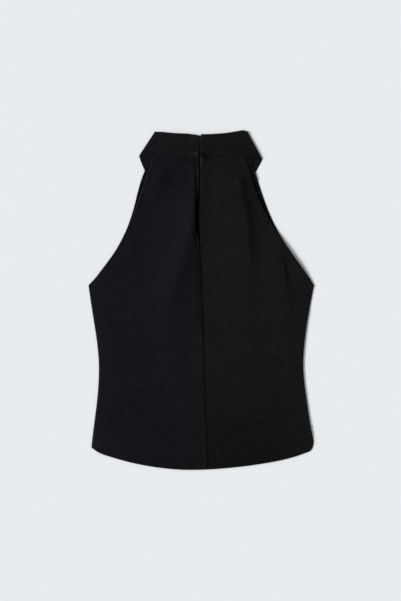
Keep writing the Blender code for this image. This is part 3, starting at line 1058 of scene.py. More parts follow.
def border_distances(points: Array) -> dict[str, Array]:
    """Measure how far the points of a grid are from its four borders.

    Args:
        points: The grid, rows by columns by 2.

    Returns:
        The distances square to each border, under left, right, bottom and top.
    """
    found = {}
    for name, grid, back in (
        ("left", points, lambda d: d),
        ("right", points[:, ::-1], lambda d: d[:, ::-1]),
        ("bottom", points.transpose(1, 0, 2), lambda d: d.T),
        ("top", points[::-1].transpose(1, 0, 2), lambda d: d.T[::-1]),
    ):
        line = grid[:, 0]
        along = unit(np.gradient(line, axis=0))
        inward = np.stack([-along[:, 1], along[:, 0]], axis=1)
        middle = len(line) // 2
        if (grid[middle, 1] - line[middle]) @ inward[middle] < 0:
            inward = -inward
        distance = np.einsum("rcx,rx->rc", grid - line[:, None], inward)
        found[name] = back(np.maximum(distance, 0.0))
    return found


def upright(points: Array) -> Array:
    """Return the direction straight up at each point of a plan."""
    return np.broadcast_to(np.array([0.0, 0.0, 1.0]), (*points.shape[:-1], 3))


@dataclass
class ClothShell:
    """A closed thin shell of cloth on a grid.

    Attributes:
        middle: The grid's points half way through the cloth, rows by columns by 3.
        normal: The cloth's outward direction at each point.
        thickness: The cloth's thickness at each point.
        cut: The points' places on the flat cut.
        distances: How far each point is from each border.
        borders: How each border is finished.
        tone: Colour factors at each point: the dye's tint, with the painted light and shade.
    """

    middle: Array
    normal: Array
    thickness: Array
    cut: Array
    distances: dict[str, Array]
    borders: dict[str, Border]
    tone: Array

    @cached_property
    def sides(self) -> tuple[Array, Array]:
        """The face and the underside, which meet at the borders."""
        half = self.thickness / 2
        full = half.copy()
        shift = np.zeros_like(half)
        for name, border in self.borders.items():
            shape = (-1, 1) if name in ("left", "right") else (1, -1)
            radius, roll = (np.reshape(measure, shape) for measure in (border.radius, border.roll))
            reach = np.clip(self.distances[name] / radius, 0.0, 1.0)
            rise = np.sqrt(np.maximum(1.0 - (1.0 - reach) ** 2, 0.0))
            shift = shift - (1.0 - rise) * roll * full
            half = half * rise
        middle = self.middle + self.normal * shift[..., None]
        return middle + self.normal * half[..., None], middle - self.normal * half[..., None]

    def height_at(self, places: Array, count: int = 4) -> Array:
        """Height of the face.

        Args:
            places: Places on it, as x and y.
            count: Points of the grid that each height is read from.

        Returns:
            The face's height at each place.
        """
        face = self.sides[0].reshape(-1, 3)
        heights = []
        for spot in places:
            square = ((face[:, :2] - spot) ** 2).sum(axis=1)
            near = np.argpartition(square, count)[:count]
            share = 1.0 / (square[near] + 1e-6)
            heights.append((face[near, 2] * share).sum() / share.sum())
        return np.array(heights)

    def make(self, name: str, face: bpy.types.Material, inside: bpy.types.Material) -> bpy.types.Object:
        """Build the mesh and its object.

        Args:
            name: The piece's name.
            face: Finish of the outward side.
            inside: Finish of the other side.

        Returns:
            The piece.
        """
        top, under = self.sides
        rows, columns = top.shape[:2]
        upper = np.arange(rows * columns).reshape(rows, columns)
        lower = upper.copy()
        inner = (rows - 2) * (columns - 2)
        lower[1:-1, 1:-1] = rows * columns + np.arange(inner).reshape(rows - 2, columns - 2)
        pairs = ((top, under), (self.cut, self.cut), (self.tone, self.tone))
        points, flat, tone = (
            np.concatenate([outside.reshape(-1, size), inside_out[1:-1, 1:-1].reshape(-1, size)])
            for (outside, inside_out), size in zip(pairs, (3, 2, 3))
        )
        faces = np.concatenate([quads(upper), quads(lower)[:, ::-1]])
        count = len(faces)
        mesh = bpy.data.meshes.new(name)
        mesh.vertices.add(len(points))
        mesh.vertices.foreach_set("co", (points * MM).astype(np.float32).ravel())
        mesh.loops.add(count * 4)
        mesh.loops.foreach_set("vertex_index", faces.astype(np.int32).ravel())
        mesh.polygons.add(count)
        mesh.polygons.foreach_set("loop_start", np.arange(0, count * 4, 4, dtype=np.int32))
        mesh.polygons.foreach_set("material_index", (np.arange(count) >= count // 2).astype(np.int32))
        mesh.polygons.foreach_set("use_smooth", np.ones(count, bool))
        mesh.update(calc_edges=True)
        uv_map = mesh.uv_layers.new(name=CUT_MAP)
        uv_map.data.foreach_set("uv", (flat * MM)[faces.ravel()].astype(np.float32).ravel())
        attribute = mesh.attributes.new(TONE, "FLOAT_COLOR", "POINT")
        colours = np.concatenate([tone, np.ones((len(tone), 1))], axis=1)
        attribute.data.foreach_set("color", colours.astype(np.float32).ravel())
        mesh.materials.append(face)
        mesh.materials.append(inside)
        mesh.validate()
        return put_in_scene(name, mesh)


def put_in_scene(name: str, data: bpy.types.ID) -> bpy.types.Object:
    """Put a mesh, a light or a camera into the scene, at the origin."""
    placed = bpy.data.objects.new(name, data)
    bpy.context.scene.collection.objects.link(placed)
    return placed


def quads(numbers: Array) -> Array:
    """Return the quads of a grid of numbered points, as corners in order."""
    corners = (numbers[:-1, :-1], numbers[:-1, 1:], numbers[1:, 1:], numbers[1:, :-1])
    return np.stack(corners, axis=-1).reshape(-1, 4)


def coons_patch(left: Array, right: Array, bottom: Array, top: Array, across: Array) -> Array:
    """Fill the plan between four borders that meet at their ends.

    Args:
        left: The left border's points, from the bottom up.
        right: The right border's points.
        bottom: The bottom border's points, from left to right.
        top: The top border's points.
        across: The columns' shares of the width.

    Returns:
        The grid, rows by columns by 2.
    """
    v = ((left[:, 1] - left[0, 1]) / (left[-1, 1] - left[0, 1]))[:, None, None]
    u = across[None, :, None]
    corners = (bottom[0] * (1 - u) + bottom[-1] * u) * (1 - v) + (top[0] * (1 - u) + top[-1] * u) * v
    ruled = bottom[None] * (1 - v) + top[None] * v
    lofted = left[:, None] * (1 - u) + right[:, None] * u
    return ruled + lofted - corners


def spaced(length: float, pitch: float, fine: Sequence[float], fine_end: Sequence[float]) -> Array:
    """Space rows or columns over a length, closer near its ends.

    Args:
        length: The whole length.
        pitch: About how far apart they are in between.
        fine: Distances from the start of the close ones there.
        fine_end: Distances from the end of the close ones there.

    Returns:
        Shares of the length from 0 to 1.
    """
    start, stop = fine[-1], length - fine_end[-1]
    count = max(2, round((stop - start) / pitch))
    middle = np.linspace(start, stop, count + 1)[1:-1]
    return np.concatenate([fine, middle, length - np.asarray(fine_end)[::-1]]) / length


EDGE_STEPS = (0.0, 0.1, 0.3, 0.6, 1.0, 1.5, 2.2, 3.2, 4.6)  # distances of the close rows at a rounded edge


@dataclass(frozen=True)
class Seaming:
    """How the body's edges are turned and sewn.

    Attributes:
        hem_depth: Depth of the turned hem.
        hem_extra: Thickness that the turned cloth adds.
        hem_step: Over what reach above it the turned cloth thins out.
        hem_clear: How far above the turned cloth the close rows of a panel's grid go on.
        needle_rows: Distances of the hem's two rows of stitches from its edge.
        needle_sink: How deep the stitches pull the cloth in.
        needle_reach: Half the width of the groove that they make.
        needle_waver: Share by which their pull wavers, and the length of a waver.
        needle_shift: How far apart the two rows' wavers are, for each millimetre between the rows.
        needle_pitch: About how far apart the points of a traced row are.
        tunnel: Height of the ridge between them, and half its width.
        hem_waver: Height of the turned cloth's waves, and the length of one.
        hem_waver_span: Heights above the edge between which the cloth waves.
        facing_depth: Depth of the turned allowance along the armholes and the slit.
        facing_step: Over what reach it thins out.
        facing_extra: Thickness that it adds.
        slit_turned: Where the slit's allowances start to be turned, from the slit's foot.
        armhole_turned: Where the armholes' start, from the pit of the arm.
        centre_ends: Where the centre seam's hold ends, from the slit's foot.
        side_ends: Where a side seam's hold ends, from the pit of the arm.
        pucker: Height of the puckers along a seam.
        pucker_length: Their typical length.
        pucker_reach: How far they reach from the seam.
        pucker_shift: Half of how far apart the two panels' puckers are.
        painted_seam_shade: Painted shade in the seam's groove: how much darker the cloth is painted there.
        painted_seam_shade_reach: Over what reach beside the seam it does.
    """

    hem_depth: float = 31.0
    hem_extra: float = 0.3
    hem_step: float = 2.5
    hem_clear: float = 4.0
    needle_rows: Point = (24.2, 30.0)
    needle_sink: float = 0.32
    needle_reach: float = 1.1
    needle_waver: Point = (0.25, 11.0)
    needle_shift: float = 9.0
    needle_pitch: float = 1.2
    tunnel: Point = (0.22, 1.6)
    hem_waver: Point = (0.12, 26.0)
    hem_waver_span: Span = (4.0, 20.0, 8.0)
    facing_depth: float = 9.0
    facing_step: float = 2.0
    facing_extra: float = 0.14
    slit_turned: Point = (-4.0, 6.0)
    armhole_turned: Point = (-2.0, 8.0)
    centre_ends: Point = (-3.0, 8.0)
    side_ends: Point = (-4.0, 4.0)
    pucker: float = 0.16
    pucker_length: float = 17.0
    pucker_reach: float = 9.0
    pucker_shift: float = 40.0
    # The seam's darkening is painted shade.
    painted_seam_shade: float = 0.7
    painted_seam_shade_reach: float = 1.7

    def hem_profile(self, above: Array, along: Array) -> tuple[Array, Array]:
        """Work out the hem's extra thickness, and the grooves and the ridge of its sewing.

        Args:
            above: Distances above the hem's edge.
            along: Distances along the hem.

        Returns:
            The thickness that the turned cloth adds, and the height that the sewing gives to the face.
        """
        extra = self.hem_extra * (1.0 - smoothstep(self.hem_depth, self.hem_depth + self.hem_step, above))
        relief = self.tunnel[0] * bell(above - sum(self.needle_rows) / 2, self.tunnel[1])
        share, length = self.needle_waver
        for row in self.needle_rows:
            sink = self.needle_sink * (1.0 + share * uneven(along + row * self.needle_shift, length))
            relief = relief - sink * bell(above - row, self.needle_reach)
        height, length = self.hem_waver
        return extra, relief + height * uneven(along, length) * between(*self.hem_waver_span, above)

    def facing(self, distance: Array) -> Array:
        """Thickness that a turned allowance adds at a distance from its edge."""
        return self.facing_extra * (1.0 - rise_past(self.facing_depth, (0.0, self.facing_step), distance))

    def needle_line(self, outline: Outline, row: float, start_x: float, end_x: float) -> Array:
        """Trace a row of stitches in the plan.

        Args:
            outline: The body's plan.
            row: The row's distance above the hem.
            start_x: Where it starts.
            end_x: Where it ends.

        Returns:
            Its points.
        """
        x = np.linspace(start_x, end_x, max(2, round(abs(end_x - start_x) / self.needle_pitch)))
        return np.stack([x, outline.hem_line(x) + row * outline.hem_slant(x)], axis=1)


WELT: Span = (152.0, 238.0, 14.0)  # heights at which the left armhole's edge rolls up in a narrow welt
LIP: Span = (235.0, 246.0, 6.0)  # heights at which the slit's right edge curls up, just under the collar


@dataclass(frozen=True)
class PanelWork:
    """What sewing, pressing and light do beside the edges of one back panel, and over it.

    Attributes:
        outer_painted_light: Painted light and shade beside the side seam and the armhole: highlights on the
            lit left edges, shade inside the left welt and on the right edge.
        seam_lifts: Heights beside the centre edge where it is sewn.
        washes: Changes of level over the panel.
        outer_lifts: Heights beside the side seam and the armhole.
        slit_lifts: Heights beside the centre edge where it is open.
        slit_painted_light: Painted light and shade there: a glint on the curled lip under the collar, and
            shade right at its edge.
    """

    outer_painted_light: tuple[Band, ...]
    seam_lifts: tuple[Band, ...]
    washes: tuple[Wash, ...]
    outer_lifts: tuple[Band, ...] = ()
    slit_lifts: tuple[Band, ...] = ()
    slit_painted_light: tuple[Band, ...] = ()


WORK = {
    Side.LEFT: PanelWork(
        # Painted highlight along the lit side seam and armhole welt, and painted shade inside the welt.
        outer_painted_light=(
            Band(1.1, 0.0, 3.6, (-FAR, 6.0, 18.0)),
            Band(2.2, 1.5, 1.4, WELT),
            Band(-0.45, 6.0, 2.8, WELT),
        ),
        outer_lifts=(Band(0.4, 1.1, 1.1, WELT), Band(-0.35, 4.6, 2.6, WELT)),
        seam_lifts=(Band(0.3, 0.0, 3.4, (-FAR, -90.0, 60.0)), Band(-0.9, 0.0, 5.5, (-40.0, 66.0, 30.0))),
        washes=(
            Wash(-0.2, y=(-FAR, -235.0, 175.0)),
            Wash(0.2, x=(-FAR, -190.0, 90.0), y=(-FAR, -270.0, 80.0)),
            Wash(-0.12, x=(-FAR, -100.0, 30.0), y=(-90.0, FAR, 60.0)),
            Wash(-0.2, y=(215.0, FAR, 75.0)),
        ),
    ),
    Side.RIGHT: PanelWork(
        # Painted shade along the right edge, on the side away from the light.
        outer_painted_light=(Band(-0.5, 0.0, 1.2),),
        seam_lifts=(
            Band(-0.24, 1.2, 1.2, outer_reach=5.5),
            Band(-0.04, 1.2, 1.2, (20.0, FAR, 80.0), outer_reach=5.5),
        ),
        slit_lifts=(Band(0.5, 0.0, 3.0, LIP),),
        # Painted glint on the slit's curled lip under the collar, and painted shade right at its edge.
        slit_painted_light=(
            Band(1.9, 2.0, 1.7, LIP),
            Band(0.8, 2.0, 1.7, (245.0, 246.0, 6.0)),
            Band(-0.7, 0.0, 0.8, LIP),
        ),
        washes=(
            Wash(-0.47, x=(-FAR, 110.0, 105.0), y=(-FAR, -255.0, 155.0)),
            Wash(-0.06, y=(225.0, FAR, 55.0)),
        ),
    ),
}


@dataclass(kw_only=True)
class Piece:
    """A piece of cloth.

    Attributes:
        lay: How the layers lie.
        dye: How its black reads.
        thickness: The cloth's thickness.
        pitch: About how far apart the rows of its grid are.
        name: The piece's name.
    """

    lay: Lay
    dye: Dye = Dye()
    thickness: float
    pitch: float
    name: str


@dataclass(kw_only=True)
class Panel(Piece):
    """A panel of the body, from the hem to the neck.

    Attributes:
        seaming: How its edges are turned and sewn.
        hem_pitch: How far apart the rows of its grid are in the hem.
        column_pitch: The same for the columns.
        width: About how wide it is.
        below: About how long it is below the pit of the arm.
        above: About how long it is above.
    """

    seaming: Seaming = Seaming()
    thickness: float = 0.95
    hem_pitch: float
    column_pitch: float
    width: float
    below: float
    above: float

    @property
    def columns(self) -> Array:
        """Shares of the width at which the columns stand."""
        return spaced(self.width, self.column_pitch, EDGE_STEPS, EDGE_STEPS)

    def heights(self, low: float, high: float) -> Array:
        """Space the rows along a border, closer in the hem and at its ends.

        Args:
            low: The border's lower end.
            high: Its upper end.

        Returns:
            The rows' heights.
        """
        pit = self.lay.outline.pit_y
        hem = np.arange(EDGE_STEPS[-1], self.seaming.hem_depth + self.seaming.hem_clear, self.hem_pitch)
        lower = spaced(self.below, self.pitch, (*EDGE_STEPS[:-1], *hem), (0.0, self.pitch))
        upper = spaced(self.above, self.pitch, (0.0, self.pitch), EDGE_STEPS)
        return np.concatenate([low + (pit - low) * lower[:-1], pit + (high - pit) * upper])


@dataclass(kw_only=True)
class BackPanel(Panel):
    """One of the two back panels, from the centre back to the side.

    Attributes:
        side: Left or right.
        painted_light_marks: Places painted lighter or darker for light and shade: on the folds, under the
            collar's edge and at the slit's foot, and a painted glow along the lower left side.
        painted_shades: Lines of painted shade at the bottom of the tightest folds: their heights are changes
            of level.
        stitch_inset: How far the hem's stitches stay off the centre edge and off the side.
        stitch_lift: How far the thread's middle lies above the face.
    """

    side: Side
    pitch: float = 1.9
    hem_pitch: float = 1.0
    column_pitch: float = 1.75
    width: float = 190.0
    below: float = 320.6
    above: float = 235.0
    stitch_inset: Point = (1.6, 1.8)
    stitch_lift: float = 0.04
    # Painted light and shade: folds, the collar's lower edge, the slit's foot, and a glow along the lower
    # left side.
    painted_light_marks: tuple[Mark, ...] = tuple(
        Mark(*numbers) for numbers in (  # x, y, wide, high, change
            (5.4, 245.6, 4.6, 3.6, -0.5), (10.9, 245.4, 1.9, 3.2, -0.8), (-1.8, 256, 1.6, 5, -1),
            (2.6, 236, 2.2, 4, -0.3), (30, 243, 14, 9, -0.22), (-23, 245, 6, 4.5, -0.34),
            (-14, 204, 8, 12, 0.22), (-30, 184, 10, 12, 0.12), (-46, 205, 10, 10, -0.16),
            (-100, 175, 13, 30, -0.2), (-120, 110, 22, 30, -0.12), (7, 132, 12, 32, 0.26),
            (32, 66, 20, 26, 0.12), (48, 178, 12, 16, -0.2), (68, 135, 14, 26, -0.18),
            (84, 86, 10, 24, -0.14), (92, 25, 8, 30, -0.26), (94, -62, 16, 36, -0.14),
            (142, 80, 10, 22, -0.2), (155, 0, 12, 60, -0.18), (-9.2, 114, 1.8, 9, -1.9),
            (-7, 118, 2.4, 6, -0.7), (-8.8, 99, 2.7, 8, -0.75), (-20, 119, 7, 8, -0.2),
            (-30, 56, 11, 16, 0.18), (-5, -32, 7, 30, -0.14), (14, -50, 12, 30, -0.14),
            (75, -116, 46, 28, -0.15), (14, -148, 16, 26, -0.18), (-82, -128, 30, 32, 0.15),
            (-48, -180, 34, 18, 0.14), (-140, -250, 42, 18, 0.1), (-6, -272, 22, 12, -0.14),
            (96, -279, 20, 6, -0.18), (-187, -246, 10, 17, 0.55), (-60, -20, 15, 24, 0.13),
            (-52, 58, 14, 18, -0.1), (-17, 68, 9, 15, 0.15), (78.5, 140, 4.5, 20, 0.14),
        )
    )
    # Painted shade at the bottom of the tightest folds.
    painted_shades: tuple[Crease, ...] = (
        Crease(((77.6, 216), (77, 207), (76.2, 196), (76, 187)), -0.55, left=2.3, right=2.3),
        Crease(
            ((78, 182), (80.4, 174), (82.6, 165), (84.8, 155), (86.4, 145), (87.2, 134.5),
             (88, 124), (89.3, 112), (89.6, 100)),
            -0.42, left=2.8, right=2.8,
        ),
        Crease(
            ((143, 80), (144.4, 68.4), (146.5, 58), (149, 47.5), (150.2, 37), (151.6, 26.6),
             (154, 14)),
            -0.6, left=2.5, right=2.5, fade=(0.2, 0.5),
        ),
    )

    def plan(self) -> tuple[Array, Array]:
        """Lay out the grid.

        Returns:
            The grid, and the heights of its rows along the centre back.
        """
        outline, collar = self.lay.outline, self.lay.collar
        gap = self.lay.stack.gap
        neck_x = outline.armhole.column(f"back_{self.side.value}")[-1]
        outer_y = self.heights(outline.side_foot_y, float(collar.back_neck_y(neck_x, gap)))
        outer = np.stack([outline.outer_x(Layer.BACK, self.side, outer_y), outer_y], axis=1)
        centre_y = np.array(outline.centre_back.column("y"))
        foot_x, head_x = outline.centre_edge_x(self.side, centre_y[[0, -1]])
        inner_y = self.heights(float(outline.hem_line(foot_x)), float(collar.back_neck_y(head_x, gap)))
        inner = np.stack([outline.centre_edge_x(self.side, inner_y), inner_y], axis=1)
        left, right = (outer, inner) if self.side is Side.LEFT else (inner, outer)
        across = self.columns
        borders = []
        for at, read in ((0, outline.hem_line), (-1, lambda x: collar.back_neck_y(x, gap))):
            x = left[at, 0] + (right[at, 0] - left[at, 0]) * across
            line = np.stack([x, read(x)], axis=1)
            line[0], line[-1] = left[at], right[at]
            borders.append(line)
        return coons_patch(left, right, borders[0], borders[1], across), inner_y

    def level(self, points: Array) -> Array:
        """Change of the dye's level over the panel: painted light and shade of its folds and edges, and broad
        changes.
        """
        x, y = points[..., 0], points[..., 1]
        outer = self.side.sign * (self.lay.outline.outer_x(Layer.BACK, self.side, y) - x)
        painted_light_marks = sum(mark.at(points) for mark in self.painted_light_marks) + sum(line.lift(points) for line in self.painted_shades)
        work = WORK[self.side]
        return painted_light_marks + summed(work.washes, x, y) + summed(work.outer_painted_light, outer, y)

    def edge_lift(self, y: Array, outer: Array, inner: Array, sewn: Array) -> Array:
        """How far the edges stand up or sink, with the centre seam's puckers.

        Args:
            y: Heights of places on the panel.
            outer: Their distances from the outer edge.
            inner: Their distances from the centre edge.
            sewn: 1 where the centre edge is sewn and 0 along the slit.

        Returns:
            The lift at each place.
        """
        seaming, work = self.seaming, WORK[self.side]
        waver = uneven(y + seaming.pucker_shift * self.side.sign, seaming.pucker_length)
        pucker = seaming.pucker * waver * bell(inner, seaming.pucker_reach)
        seam = sewn * (pucker + summed(work.seam_lifts, inner, y))
        return seam + summed(work.slit_lifts, inner, y) + summed(work.outer_lifts, outer, y)

    def centre_border(self, y: Array, sewn: Array) -> Border:
        """Finish of the centre edge, which rolls softly into the seam on the left and stands on the right.

        Args:
            y: Heights of its stations.
            sewn: 1 where it is sewn and 0 along the slit.

        Returns:
            The border.
        """
        if self.side is Side.LEFT:
            soft = 0.4 + between(-150.0, 70.0, 60.0, y)
            flat = rise_past(196.0, (0.0, 26.0), y)
            return Border(0.9 + soft * sewn - 0.5 * flat, 0.5 + 0.5 * sewn - 0.4 * flat)
        lip = between(*LIP, y)
        return Border(0.6 - 0.25 * sewn + 1.9 * lip, lip)

    @cached_property
    def shell(self) -> ClothShell:
        """The panel's cloth."""
        outline, seaming, work = self.lay.outline, self.seaming, WORK[self.side]
        points, centre_y = self.plan()
        distances = border_distances(points)
        outer, inner = ("left", "right") if self.side is Side.LEFT else ("right", "left")
        to_outer, to_inner = distances[outer], distances[inner]
        y = points[..., 1]
        hem_extra, hem_relief = seaming.hem_profile(outline.above_hem(points), points[..., 0])
        slit = rise_past(outline.slit_foot_y, seaming.slit_turned, y)
        armhole = rise_past(outline.pit_y, seaming.armhole_turned, y)
        thickness = self.thickness + hem_extra
        thickness = thickness + seaming.facing(to_inner) * slit + seaming.facing(to_outer) * armhole
        lift = self.edge_lift(y, to_outer, to_inner, 1.0 - slit)
        press = self.lay.press(points)
        height = (self.lay.back_under(points) + thickness / 2 + hem_relief + lift) * press
        sewn_centre = 1.0 - rise_past(outline.slit_foot_y, seaming.centre_ends, centre_y)
        sewn_side = 1.0 - rise_past(outline.pit_y, seaming.side_ends, y[:, 0 if outer == "left" else -1])
        borders = {
            inner: self.centre_border(centre_y, sewn_centre),
            outer: Border(1.1 + 0.4 * sewn_side, sewn_side),
            "bottom": Border(0.8),
            "top": Border(0.6, 1.0),
        }
        # Painted shade in the centre seam's groove, and the painted glint and shade along the slit's lip.
        painted_seam_shade = seaming.painted_seam_shade * bell(to_inner, seaming.painted_seam_shade_reach) * (1.0 - slit)
        painted_edge_light = 1.0 - painted_seam_shade + summed(work.slit_painted_light, to_inner, y)
        tone = self.dye.tone(points, (1.0 + self.level(points)) * painted_edge_light)
        middle = at_height(points, height)
        return ClothShell(middle, upright(points), thickness * press, points, distances, borders, tone)

    def needle_lines(self) -> list[Array]:
        """Trace the hem's rows of stitches on the face."""
        outline = self.lay.outline
        centre_y = np.array(outline.lowest_y + self.seaming.needle_rows[1])
        centre_x = float(outline.centre_edge_x(self.side, centre_y)) + self.stitch_inset[0] * self.side.sign
        side_x = outline.side_seam.column(self.side.value)[2] - self.stitch_inset[1] * self.side.sign
        lines = []
        for row in self.seaming.needle_rows:
            plan = self.seaming.needle_line(outline, row, centre_x, side_x)
            lines.append(at_height(plan, self.shell.height_at(plan) + self.stitch_lift))
        return lines


@dataclass(kw_only=True)
class FrontPanel(Panel):
    """The front, one piece from side to side, which lies on the surface.

    Attributes:
        creases: Its ridges, which stay under the back.
        neck_lift: How its neck edge stands up, level with the stand that it is sewn to.
        side_extra: Thickness of the allowances at its side seams.
        hem_most: Most that the turned hem adds to its thickness, since it lies flat.
        painted_shades: Painted shadow where it lies in shade: in the slit, and beside the right armhole near
            the collar.
        painted_edge_shadow: Painted shadow: the dark line under the right armhole's edge there, across from
            that edge.
        stitch_x: Where its hem's stitches start and end.
        stitch_y: Height of their thread's middle above the surface.
    """

    pitch: float = 3.0
    hem_pitch: float = 1.2
    column_pitch: float = 3.0
    width: float = 380.0
    below: float = 282.0
    above: float = 220.0
    creases: tuple[Crease, ...] = (
        Crease(((58, 150), (46, 40), (61, -90)), 0.7, left=16, right=26),
        Crease(((-70, 120), (-94, 20), (-88, -120)), 0.6, left=22, right=15),
        Crease(((6, 90), (-8, -30), (4, -190)), 0.45, left=14, right=18),
    )
    neck_lift: Band = Band(0.4, 0.0, 7.0)
    side_extra: Band = Band(0.2, 0.0, 7.0)
    hem_most: float = 0.2
    # Painted shadow in the slit and beside the right armhole.
    painted_shades: tuple[Band | Wash, ...] = (
        Band(-0.7, -7.0, 16.0, (100.0, 190.0, 25.0)),
        Wash(-0.6, x=(80.0, FAR, 20.0), y=(150.0, 176.0, 10.0)),
    )
    # Painted shadow under the right armhole's edge.
    painted_edge_shadow: Wash = Wash(-0.7, x=(-2.0, 2.0, 1.5), y=(182.0, FAR, 10.0))
    stitch_x: Point = (-184.0, 187.0)
    stitch_y: float = 0.22
    name: str = "front_panel"

    def neck(self, across: Array) -> Array:
        """The neck edge, just below the collar's stand.

        Args:
            across: The columns' shares of the width.

        Returns:
            Its points from left to right.
        """
        collar = self.lay.collar
        points = np.zeros((len(across), 2))
        for side in Side:
            mine = across <= 0.5 if side is Side.LEFT else across > 0.5
            from_side = 2.0 * np.minimum(across, 1.0 - across)[mine]
            t = collar.neck_start + (1.0 - collar.neck_start) * from_side
            fold, edge = collar.front_lines(side, t)
            down = unit(edge - fold) * self.lay.outline.seam_gap
            points[mine] = fold + (edge - fold) * collar.stand_share + down
        return points

    def plan(self) -> Array:
        """Lay out the grid."""
        outline, across = self.lay.outline, self.columns
        neck = self.neck(across)
        sides = []
        for side, end in ((Side.LEFT, neck[0]), (Side.RIGHT, neck[-1])):
            y = self.heights(outline.side_foot_y, float(end[1]))
            line = np.stack([outline.outer_x(Layer.FRONT, side, y), y], axis=1)
            line[-1] = end
            sides.append(line)
        x = sides[0][0, 0] + (sides[1][0, 0] - sides[0][0, 0]) * across
        bottom = np.stack([x, outline.hem_line(x) + outline.front_hem_inset], axis=1)
        bottom[0], bottom[-1] = sides[0][0], sides[1][0]
        return coons_patch(sides[0], sides[1], bottom, neck, across)

    @cached_property
    def shell(self) -> ClothShell:
        """The panel's cloth."""
        outline, seaming = self.lay.outline, self.seaming
        points = self.plan()
        distances = border_distances(points)
        x, y = points[..., 0], points[..., 1]
        hem_extra, grooves = seaming.hem_profile(outline.above_hem(points), x)
        dents = np.minimum(grooves, 0.0)
        armhole = rise_past(outline.pit_y, seaming.armhole_turned, y)
        sides = np.minimum(distances["left"], distances["right"])
        turned = seaming.facing(sides) * armhole + self.side_extra.at(sides, y) * (1.0 - armhole)
        thickness = self.thickness + np.minimum(hem_extra, self.hem_most) + dents + turned
        raised = self.lay.held(points) * sum(crease.lift(points) for crease in self.creases)
        press = self.lay.press(points)
        flush = self.neck_lift.at(distances["top"], y)
        height = (self.lay.front_under(points) + raised - dents + flush + thickness / 2) * press
        sewn = rise_past(outline.pit_y, self.seaming.side_ends, y[:, 0]) - 1.0
        borders = {
            "left": Border(1.5, sewn),
            "right": Border(1.5, sewn),
            "bottom": Border(0.7),
            "top": Border(0.25),
        }
        # Painted shadow: in the slit, beside the right armhole and along the back's right armhole edge.
        from_edge = x - outline.outer_x(Layer.BACK, Side.RIGHT, y)
        tone = self.dye.tone(points, 1.0 + summed(self.painted_shades, x, y) + self.painted_edge_shadow.at(from_edge, y))
        middle = at_height(points, height)
        return ClothShell(middle, upright(points), thickness * press, points, distances, borders, tone)

    def needle_lines(self) -> list[Array]:
        """Trace the hem's rows of stitches on the side that lies on the surface."""
        seaming, outline = self.seaming, self.lay.outline
        plans = [seaming.needle_line(outline, row, *self.stitch_x) for row in seaming.needle_rows]
        return [at_height(plan, np.full(len(plan), self.stitch_y)) for plan in plans]


